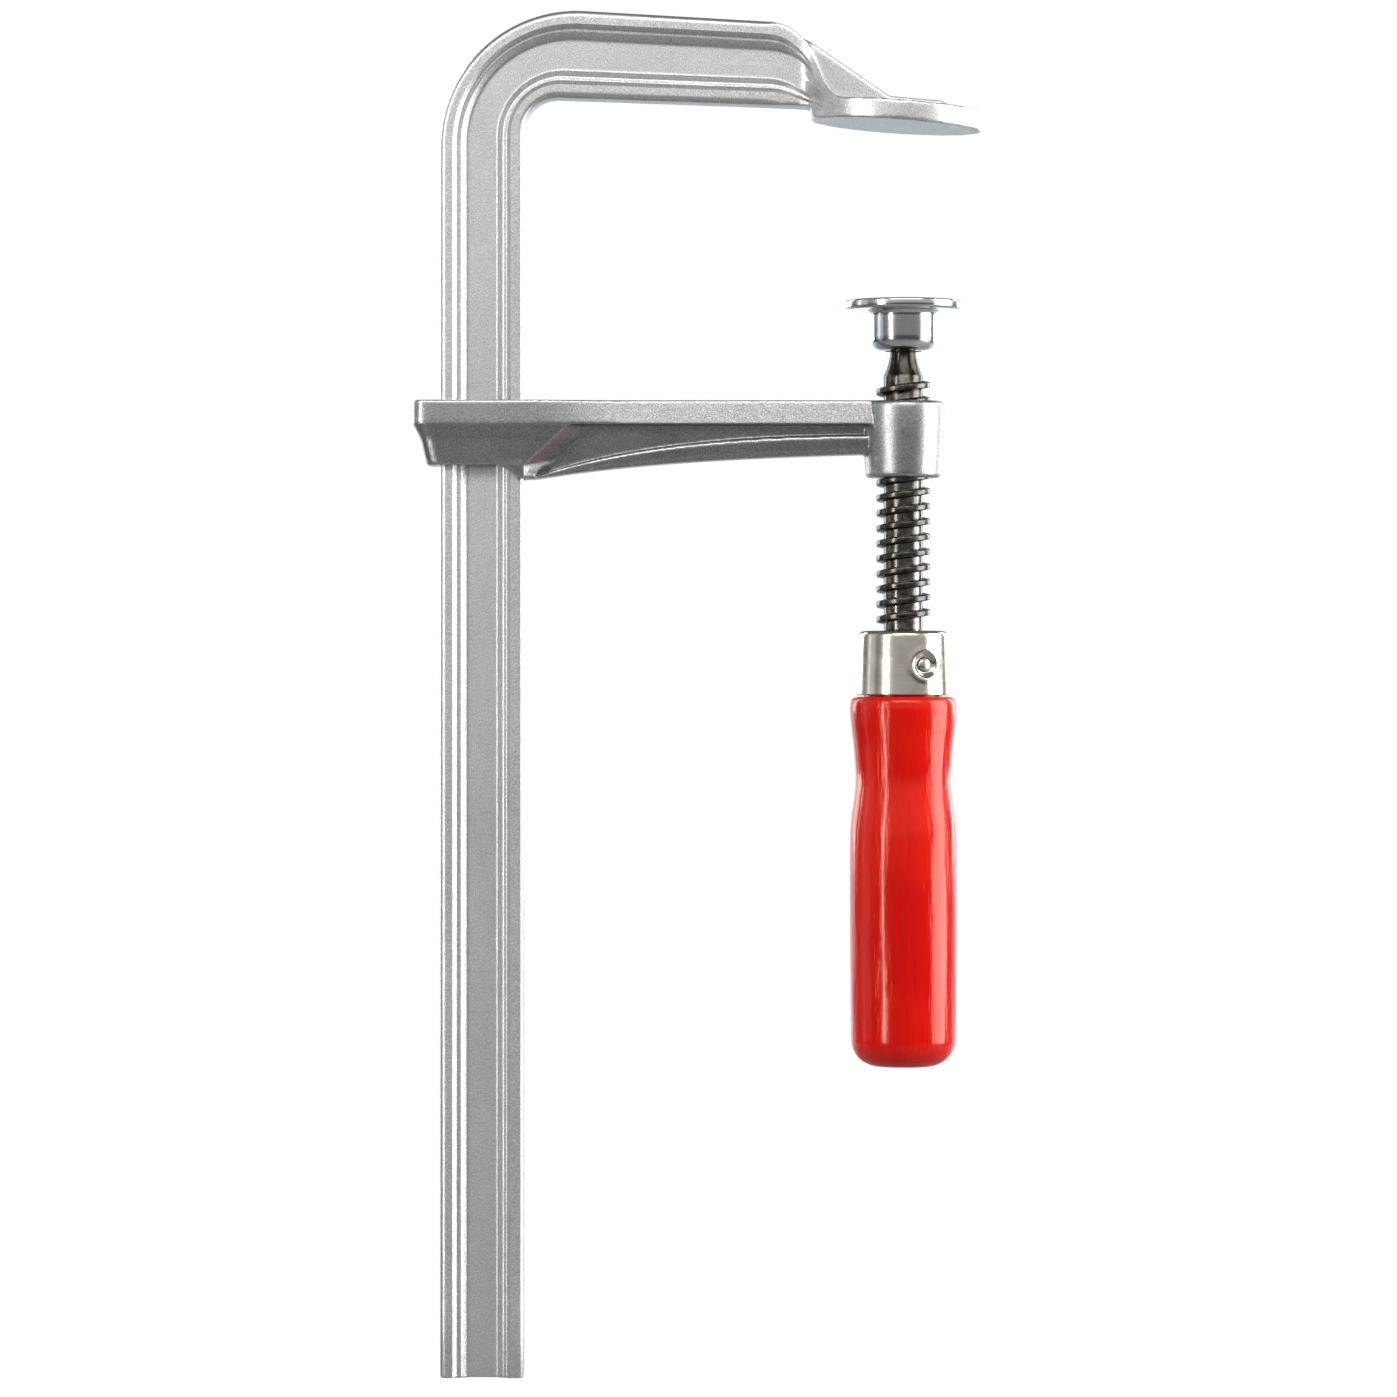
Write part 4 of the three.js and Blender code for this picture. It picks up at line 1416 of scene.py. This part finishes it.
@dataclass
class ClampScrew:
    """Ball, neck and core turned in one, with the rolled right-hand thread ridge."""

    ball_centre: float = -53.618
    ball_radius: float = 5.3
    flat_radius: float = 2.6
    neck_radius: float = 3.3
    thread_top: float = -66.018
    thread_bottom: float = -132.618
    core: float = 5.2
    crest: float = 7.1
    pitch: float = 4.0
    crest_width: float = 1.35
    base_width: float = 2.15
    tang_radius: float = 5.0
    tang_end: float = -204.968
    segments: int = 96
    ridge_start: float = -132.0
    ridge_turns: float = 16.6
    steps_per_turn: int = 64
    run_out: float = 0.45

    def core_profile(self) -> list[Point]:
        """Profile of the ball, the neck, the core and the tang."""
        flat_angle = math.degrees(math.acos(self.flat_radius / self.ball_radius))
        neck_angle = -math.degrees(math.acos(self.neck_radius / self.ball_radius))
        ball = arc((0, self.ball_centre), self.ball_radius, flat_angle, neck_angle, 22)
        neck = bezier([ball[-1], (self.neck_radius, self.thread_top + 4.2), (self.core, self.thread_top)], 14)
        top = self.ball_centre + self.ball_radius * math.sin(math.radians(flat_angle))
        return [(0, top)] + ball + neck + [
            (self.core, (self.thread_top + self.thread_bottom) / 2), (self.core, self.thread_bottom),
            (self.tang_radius, self.thread_bottom), (self.tang_radius, self.tang_end + 1),
            (self.tang_radius - 1, self.tang_end), (0, self.tang_end),
        ]

    def ridge_section(self) -> list[Point]:
        """Section of the thread ridge, with eased crest corners."""
        foot = self.core - 0.5
        flank = (self.base_width - self.crest_width) / 2 / (self.crest - self.core)
        foot_half = self.crest_width / 2 + (self.crest - foot) * flank
        half = self.crest_width / 2
        side = rounded([
            (foot, -foot_half, 0), (self.core + 0.1, -self.base_width / 2, 0.1),
            (self.crest, -half, 0.24), (self.crest, half, 0.24),
            (self.core + 0.1, self.base_width / 2, 0.1), (foot, foot_half, 0),
        ], 3)
        return [(radius, self.ridge_start + height) for radius, height in side]

    def thread(self) -> bpy.types.Object:
        """Thread ridge, screwed up from its section, that sinks into the core at both ends."""
        section = self.ridge_section()
        steps = round(self.steps_per_turn * self.ridge_turns)
        piece = Bench.ring("thread ridge", [(radius, 0, height) for radius, height in section], filled=False)
        Bench.apply(
            piece, "SCREW", axis="Z", angle=FULL_TURN * self.ridge_turns,
            screw_offset=self.pitch * self.ridge_turns * MM, steps=steps, render_steps=steps,
            iterations=1, use_smooth_shade=True,
        )
        self.sink_ends(piece, len(section))
        Bench.edit(piece)
        bpy.ops.mesh.select_non_manifold(extend=False)
        bpy.ops.mesh.edge_face_add()
        bpy.ops.object.mode_set(mode="OBJECT")
        return piece

    def sink_ends(self, piece: bpy.types.Object, corners: int) -> None:
        """Draw the ridge's first and last part turn in, until it lies under the core's surface.

        Args:
            piece: Screwed ridge.
            corners: Corners in its section.
        """
        shape = piece.data
        places = np.zeros(len(shape.vertices) * 3, np.float32)
        shape.vertices.foreach_get("co", places)
        places = places.reshape(-1, 3)
        turns = np.repeat(np.arange(len(places) // corners), corners) / self.steps_per_turn
        radius = np.hypot(places[:, 0], places[:, 1])
        from_end = np.minimum(turns, turns.max() - turns) / self.run_out
        share = np.clip(from_end, 0, 1)
        share = share * share * (3 - 2 * share)
        foot = (self.core - 0.5) * MM
        wanted = foot + (radius - foot) * share
        places[:, :2] *= (wanted / radius)[:, None]
        shape.vertices.foreach_set("co", places.ravel())
        shape.update()

    def build(self, finish: bpy.types.Material) -> bpy.types.Object:
        """Build the screw and hang it on the frame."""
        piece = Bench.turn("clamp_screw", self.core_profile(), self.segments)
        ridge = self.thread()
        Bench.gather(piece, [ridge])
        Bench.close(piece)
        Bench.soften(piece, 40)
        Bench.mount(piece, Body.SCREW, "spindle", Slot.SCREW, finish)
        return piece


@dataclass
class SwivelPlate:
    """Pressure plate: a disc with eased rims over a cup whose socket takes the ball."""

    top: float = -45.9
    radius: float = 15.55
    thickness: float = 2.5
    dimple_radius: float = 3.0
    dimple_depth: float = 0.8
    ceiling: float = -48.3
    ball_centre: float = -53.618
    socket: float = 5.65
    groove_radius: float = 7.02
    groove_top: float = -54.5
    cup_radius: float = 8.824
    cup_corner: float = 4.0
    mouth: float = -59.195
    lip: float = 0.9
    mouth_radius: float = 4.97
    segments: int = 128

    def profile(self) -> list[Point]:
        """Profile of the plate, from its socket's ceiling round to its top face."""
        start = math.degrees(math.asin((self.ceiling - self.ball_centre) / self.socket))
        end = math.degrees(math.asin((self.groove_top - self.ball_centre) / self.socket))
        under = self.top - self.thickness
        outside = rounded([
            (self.mouth_radius, self.mouth, 0), (self.cup_radius, self.mouth, self.cup_corner),
            (self.cup_radius, under, 1.7), (self.radius, under, 1.0), (self.radius, self.top, 0.7),
            (self.dimple_radius + 0.6, self.top, 0.3), (self.dimple_radius, self.top - 0.25, 0.2),
            (0.4, self.top - self.dimple_depth, 0.2), (0, self.top - self.dimple_depth, 0),
        ], 8)
        return [(0, self.ceiling)] + arc((0, self.ball_centre), self.socket, start, end, 12) + [
            (self.groove_radius, self.groove_top), (self.groove_radius, self.mouth + self.lip),
            (self.mouth_radius + 0.3, self.mouth + self.lip),
            (self.mouth_radius, self.mouth + self.lip - 0.3),
        ] + outside

    def build(self, finish: bpy.types.Material) -> bpy.types.Object:
        """Build the plate and hang it on the frame."""
        piece = Bench.turn("swivel_plate", self.profile(), self.segments)
        Bench.soften(piece, 35)
        Bench.mount(piece, Body.PLATE, "pressure_plate", Slot.PLATE, finish)
        return piece


@dataclass
class KeeperRing:
    """Split spring ring inside the cup. Its CAD shape is right, so it only gets its finish."""

    node: str = "snap_ring"

    def build(self, finish: bpy.types.Material) -> bpy.types.Object:
        """Dress the CAD ring."""
        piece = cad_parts[self.node]
        for slot in piece.material_slots:
            slot.material = finish
        LOG.info("%s: keeps its CAD shape", piece.name)
        return piece


# ---------------------------------------------------------------- handle


@dataclass
class PinPlace:
    """Where the cross pin runs through ferrule, wood and tang."""

    height: float = -141.968
    angle: float = 27.0

    @property
    def direction(self) -> Vector:
        """Way that the pin's front end points."""
        turn = math.radians(self.angle)
        return Vector((math.sin(turn), -math.cos(turn), 0))


@dataclass
class GripFerrule:
    """Pressed sleeve with a rolled top rim and a dimple round each end of the pin."""

    pin: PinPlace
    top: float = -132.968
    bottom: float = -149.968
    top_radius: float = 11.9
    bottom_radius: float = 12.5
    wall: float = 1.0
    rounding: float = 1.6
    hole: float = 5.35
    segments: int = 160
    rows: int = 44
    dimple_depth: float = 1.0
    dimple_radius: float = 3.7
    pin_hole: float = 1.95

    def profile(self) -> list[Point]:
        """Closed profile of the sleeve's wall, with close rows where the dimples are pressed in."""
        outside = rounded([
            (self.hole, self.top, 0), (self.top_radius, self.top, self.rounding),
            (self.bottom_radius, self.bottom, 0),
        ], 8)[:-1]
        start = outside[-1]
        for i in range(1, self.rows + 1):
            share = i / self.rows
            outside.append((
                start[0] + (self.bottom_radius - start[0]) * share,
                start[1] + (self.bottom + 0.3 - start[1]) * share,
            ))
        outside += [(self.bottom_radius - 0.3, self.bottom)]
        inner_bottom, inner_top = self.bottom_radius - self.wall, self.top_radius - self.wall
        return outside + [
            (inner_bottom, self.bottom), (inner_top, self.top - self.wall), (self.hole, self.top - self.wall),
        ]

    def press_dimple(self, piece: bpy.types.Object, way: Vector) -> None:
        """Press the wall in round the pin's end, with a slight rim raised round it.

        Args:
            piece: Sleeve.
            way: Way that the pin's end points.
        """
        middle = Vector((0, 0, self.pin.height))
        for vertex in piece.data.vertices:
            place = vertex.co / MM - middle
            reach = place.dot(way)
            if reach < self.top_radius * 0.7:
                continue
            off = (place - way * reach).length / self.dimple_radius
            if off < 1.5:
                push = self.dimple_depth * (1 - smooth_step(0.55, 1.0, off))
                lift = 0.14 * max(0.0, 1 - abs(off - 1.08) / 0.3)
                vertex.co += way * (lift - push) * MM

    def build(self, finish: bpy.types.Material) -> bpy.types.Object:
        """Build the sleeve and hang it on the frame."""
        piece = Bench.turn("grip_ferrule", self.profile(), self.segments, solid_core=False)
        for way in (self.pin.direction, -self.pin.direction):
            self.press_dimple(piece, way)
        drill = cross_bar("pin hole cutter", self.pin, self.pin_hole, self.bottom_radius + 3)
        Bench.combine(piece, drill, "DIFFERENCE")
        Bench.soften(piece, 40)
        Bench.mount(piece, Body.SCREW, "ferrule", Slot.FERRULE, finish)
        return piece


def cross_bar(
    name: str, pin: PinPlace, radius: float, half_length: float, dome: float = 0.0,
) -> bpy.types.Object:
    """Round bar along the pin, with domed or flat ends.

    Args:
        name: Name of the new piece.
        pin: Where the pin runs.
        radius: Its radius, in millimetres.
        half_length: Middle of the clamp's screw to its end.
        dome: How far each end stands proud of its rim.

    Returns:
        The bar.
    """
    end = half_length - dome
    side = [(radius * math.cos(t), end + dome * math.sin(t)) for t in np.linspace(0, math.pi / 2, 10)[:-1]]
    profile = [(0, half_length)] + [(r, h) for r, h in reversed(side)]
    profile += [(r, -h) for r, h in side] + [(0, -half_length)]
    piece = Bench.turn(name, profile, 48)
    turn = Vector((0, 0, 1)).rotation_difference(pin.direction).to_matrix().to_4x4()
    piece.data.transform(Matrix.Translation((0, 0, pin.height * MM)) @ turn)
    return piece


@dataclass
class GripPin:
    """Cross pin whose domed ends show in the ferrule's dimples."""

    pin: PinPlace
    radius: float = 1.75
    half_length: float = 12.0
    dome: float = 0.55

    def build(self, finish: bpy.types.Material) -> bpy.types.Object:
        """Build the pin and hang it on the frame."""
        piece = cross_bar("grip_pin", self.pin, self.radius, self.half_length, self.dome)
        Bench.soften(piece, 50)
        Bench.mount(piece, Body.SCREW, "cross_pin", Slot.PIN, finish)
        return piece


@dataclass
class TurnedGrip:
    """Waisted wooden grip with its tenon and bore, under a thick coat of lacquer."""

    shoulder: float = -150.318
    end: float = -247.818
    radius: float = 14.1
    waist_radius: float = 12.6
    end_rounding: float = 7.3
    tenon_radius: float = 10.4
    tenon_top: float = -134.318
    bore: float = 5.35
    bore_end: float = -205.318
    segments: int = 144
    ripple: float = 0.05
    end_radius: float = 13.85
    knot_steps: int = 6

    def side(self) -> list[Point]:
        """Radius and height down the grip, from its shoulder to where the end rounds off."""
        knots = [
            (13.0, self.shoulder - 0.25), (13.75, self.shoulder - 0.9), (self.radius, self.shoulder - 2.9),
            (13.9, self.shoulder - 6.5), (13.15, self.shoulder - 13.0),
            (self.waist_radius, self.shoulder - 21.5),
            (13.05, self.shoulder - 27.0), (13.85, self.shoulder - 33.0), (self.radius, self.shoulder - 39.0),
            (self.radius, self.shoulder - 60.0), (13.95, self.shoulder - 80.0),
            (self.end_radius, self.end + self.end_rounding),
        ]
        line = []
        for i in range(len(knots) - 1):
            a, b, c, d = (Vector(knots[min(max(i + k, 0), len(knots) - 1)]) for k in (-1, 0, 1, 2))
            for step in range(self.knot_steps):
                t = step / self.knot_steps
                bend, twist = 2 * a - 5 * b + 4 * c - d, 3 * b - a - 3 * c + d
                place = 0.5 * (2 * b + (c - a) * t + bend * t * t + twist * t ** 3)
                line.append((place.x, place.y))
        return line

    def profile(self) -> list[Point]:
        """Whole profile, from the bore round the tenon and down to the end."""
        centre = (self.end_radius - self.end_rounding, self.end + self.end_rounding)
        corner = arc(centre, self.end_rounding, 0, -90, 14)
        return [
            (0, self.bore_end), (self.bore, self.bore_end), (self.bore, self.tenon_top),
            (self.tenon_radius, self.tenon_top), (self.tenon_radius, self.shoulder),
            (12.5, self.shoulder),
        ] + self.side() + corner + [(3, self.end), (0, self.end)]

    def ripple_surface(self, piece: bpy.types.Object) -> None:
        """Raise faint long ripples, which the wood's grain leaves under the lacquer.

        Args:
            piece: Turned grip.
        """
        waves = ((7, 0.9, 0.4), (12, -1.6, 1.9), (19, 2.3, 3.1), (5, -0.7, 5.0))
        for vertex in piece.data.vertices:
            x, y, z = vertex.co / MM
            reach = math.hypot(x, y)
            if reach < self.waist_radius - 0.3:
                continue
            turn = math.atan2(y, x)
            lift = sum(math.sin(n * turn + pull * z * 0.055 + start) for n, pull, start in waves) / len(waves)
            share = smooth_step(self.waist_radius - 0.3, self.waist_radius, reach)
            vertex.co.xy *= 1 + self.ripple * lift * share / reach

    def build(self, finish: bpy.types.Material) -> bpy.types.Object:
        """Build the grip and hang it on the frame."""
        piece = Bench.turn("turned_grip", self.profile(), self.segments)
        self.ripple_surface(piece)
        Bench.soften(piece, 45)
        Bench.mount(piece, Body.SCREW, "handle", Slot.GRIP, finish)
        return piece


# ---------------------------------------------------------------- studio


@dataclass
class SoftBox:
    """One area lamp: where it stands, what it aims at, its size and its power."""

    name: str
    place: tuple[float, float, float]
    aim: tuple[float, float, float]
    size: tuple[float, float]
    power: float
    colour: tuple[float, float, float] = (1.0, 1.0, 1.0)

    def build(self) -> bpy.types.Object:
        """Add the lamp."""
        Bench.clear()
        bpy.ops.object.light_add(type="AREA", location=self.place)
        lamp = bpy.context.object
        lamp.name = lamp.data.name = self.name
        lamp.data.shape = "RECTANGLE"
        lamp.data.size, lamp.data.size_y = self.size
        lamp.data.energy = self.power
        lamp.data.color = self.colour
        lamp.visible_camera = False
        way = Vector(self.aim) - Vector(self.place)
        lamp.rotation_euler = way.to_track_quat("-Z", "Y").to_euler()
        return lamp


@dataclass
class Studio:
    """Camera, floor, soft boxes and the surroundings that the metal reflects."""

    camera_place: tuple[float, float, float] = (-0.054, -1.541, -0.1508)
    lens: float = 150.5
    sensor: float = 36.0
    floor_radius: float = 3.0
    floor_drop: float = 0.20
    backdrop: float = 1.0
    above: float = 0.16
    level: float = 0.20
    below: float = 0.06
    front_glow: float = 0.36
    behind: float = 1.3

    def build_floor(self) -> bpy.types.Object:
        """Lay a pale round floor, low enough for the grip when the arm is right down the rail."""
        Bench.clear()
        height = CAD_BOX[0].z - self.floor_drop
        bpy.ops.mesh.primitive_circle_add(
            vertices=96, radius=self.floor_radius, fill_type="NGON", location=(0, 0, height),
        )
        floor = bpy.context.object
        floor.name = "studio_floor"
        floor.data.materials.append(PaleFloor().build())
        return floor

    def build_surroundings(self) -> None:
        """Make a white backdrop, and a room for the metal: dark in front, bright above and behind."""
        world = bpy.data.worlds.new("studio surroundings")
        bpy.context.scene.world = world
        world.use_nodes = True
        bench = ShaderBench(world.node_tree)
        out = world.node_tree.nodes["World Output"]
        plain = world.node_tree.nodes["Background"]
        plain.inputs["Color"].default_value = (1, 1, 1, 1)
        plain.inputs["Strength"].default_value = self.backdrop
        way = bench.add("ShaderNodeSeparateXYZ")
        bench.wire(bench.add("ShaderNodeTexCoord").outputs["Generated"], way.inputs[0])
        up = way.outputs[2]
        room = bench.math("ADD", bench.spread(up, -0.12, 0.04, self.below, self.level),
                          bench.spread(up, 0.05, 0.5, 0.0, self.above - self.level))
        rise, fall = bench.spread(up, -0.55, -0.15, 0.0, 1.0), bench.spread(up, 0.10, 0.34, 1.0, 0.0)
        band = bench.math("MULTIPLY", rise, fall)
        back = bench.math("MULTIPLY", band, bench.spread(way.outputs[1], 0.55, 0.9, 0.0, self.behind))
        ahead = bench.math("MULTIPLY", bench.spread(way.outputs[1], -0.75, -0.3, 1.0, 0.0),
                           bench.math("MULTIPLY", bench.spread(up, -0.02, 0.10, 0.0, self.front_glow),
                                      bench.spread(up, 0.55, 0.8, 1.0, 0.0)))
        strength = bench.math("ADD", bench.math("ADD", room, back), ahead)
        seen = bench.add("ShaderNodeBackground")
        bench.wire(strength, seen.inputs["Strength"])
        to_back = bench.spread(way.outputs[1], 0.3, 0.8, 0.0, 1.0)
        tint = bench.blend(to_back, (1.0, 1.0, 0.98, 1), (0.86, 0.95, 1.0, 1))
        bench.wire(tint, seen.inputs["Color"])
        mix = bench.add("ShaderNodeMixShader")
        bench.wire(bench.add("ShaderNodeLightPath").outputs["Is Camera Ray"], mix.inputs[0])
        bench.wire(seen.outputs[0], mix.inputs[1])
        bench.wire(plain.outputs[0], mix.inputs[2])
        bench.wire(mix.outputs[0], out.inputs["Surface"])

    def build_lights(self) -> list[bpy.types.Object]:
        """Set up the soft boxes."""
        middle = (-0.054, 0.0, -0.15)
        boxes = [
            SoftBox("left strip", (-1.05, -1.05, 0.05), middle, (0.13, 1.2), 9.0),
            SoftBox("left wall", (-1.5, 0.0, 0.15), middle, (0.8, 1.1), 1.3, (0.92, 0.97, 1.0)),
            SoftBox("right box", (1.2, -0.1, 0.05), middle, (0.9, 1.15), 22.0, (0.97, 0.985, 1.0)),
            SoftBox(
                "top front box", (0.1, -1.5, 0.95), (-0.054, 0, -0.2), (1.9, 0.6), 15.5, (1.0, 0.98, 0.94),
            ),
            SoftBox("back left box", (-1.1, 1.0, 0.25), middle, (0.35, 1.0), 6.0),
            SoftBox("back right box", (1.0, 1.1, 0.25), middle, (0.35, 1.0), 6.0),
        ]
        return [box.build() for box in boxes]

    def build_camera(self) -> bpy.types.Object:
        """Set up the camera, level and looking along +Y."""
        Bench.clear()
        bpy.ops.object.camera_add(location=self.camera_place, rotation=(math.pi / 2, 0, 0))
        camera = bpy.context.object
        camera.name = "portrait camera"
        camera.data.lens = self.lens
        camera.data.sensor_width = self.sensor
        camera.data.clip_start, camera.data.clip_end = 0.05, 20.0
        bpy.context.scene.camera = camera
        return camera

    def build(self) -> None:
        """Build the whole studio."""
        bpy.context.scene.view_settings.view_transform = "Standard"
        self.build_camera()
        self.build_floor()
        self.build_surroundings()
        lamps = self.build_lights()
        LOG.info("studio: %d soft boxes, a floor and a camera", len(lamps))


# ---------------------------------------------------------------- assembly


def main() -> None:
    """Build the clamp piece by piece, and its studio."""
    logging.basicConfig(level=logging.INFO, format="%(name)s %(message)s")
    Studio().build()
    RailForging().build(ZincPlate("satin zinc, rail").build())
    # The arm's zinc gets a dimmer painted edge highlight and a darker painted shade in hollows than the
    # rail's.
    SlidingArmForging().build(ZincPlate(
        "satin zinc, sliding arm", body=(0.62, 0.62, 0.615, 1), shade=(0.23, 0.23, 0.23, 1),
        bright=(0.80, 0.81, 0.82, 1), hollow_shade=(0.06, 0.06, 0.06, 1), roughness=0.33, grain_scale=2700.0,
    ).build())
    ClampScrew().build(BurnishedSteel("burnished screw steel").build())
    SwivelPlate().build(TurnedMetal(
        "bright turned zinc", (0.74, 0.76, 0.78, 1), (0.64, 0.66, 0.68, 1), 0.14,
    ).build())
    KeeperRing().build(TurnedMetal("spring steel", (0.34, 0.35, 0.36, 1), (0.26, 0.27, 0.28, 1), 0.3).build())
    pin = PinPlace()
    GripFerrule(pin).build(TurnedMetal(
        "warm nickel", (0.72, 0.67, 0.59, 1), (0.62, 0.57, 0.49, 1), 0.17,
        ring_scale=2500.0, ring_strength=0.15,
    ).build())
    GripPin(pin).build(TurnedMetal("pin steel", (0.58, 0.56, 0.53, 1), (0.48, 0.46, 0.43, 1), 0.26).build())
    TurnedGrip().build(RedLacquer("red lacquered beech").build())
    Bench.clear()


if __name__ == "__main__":
    main()
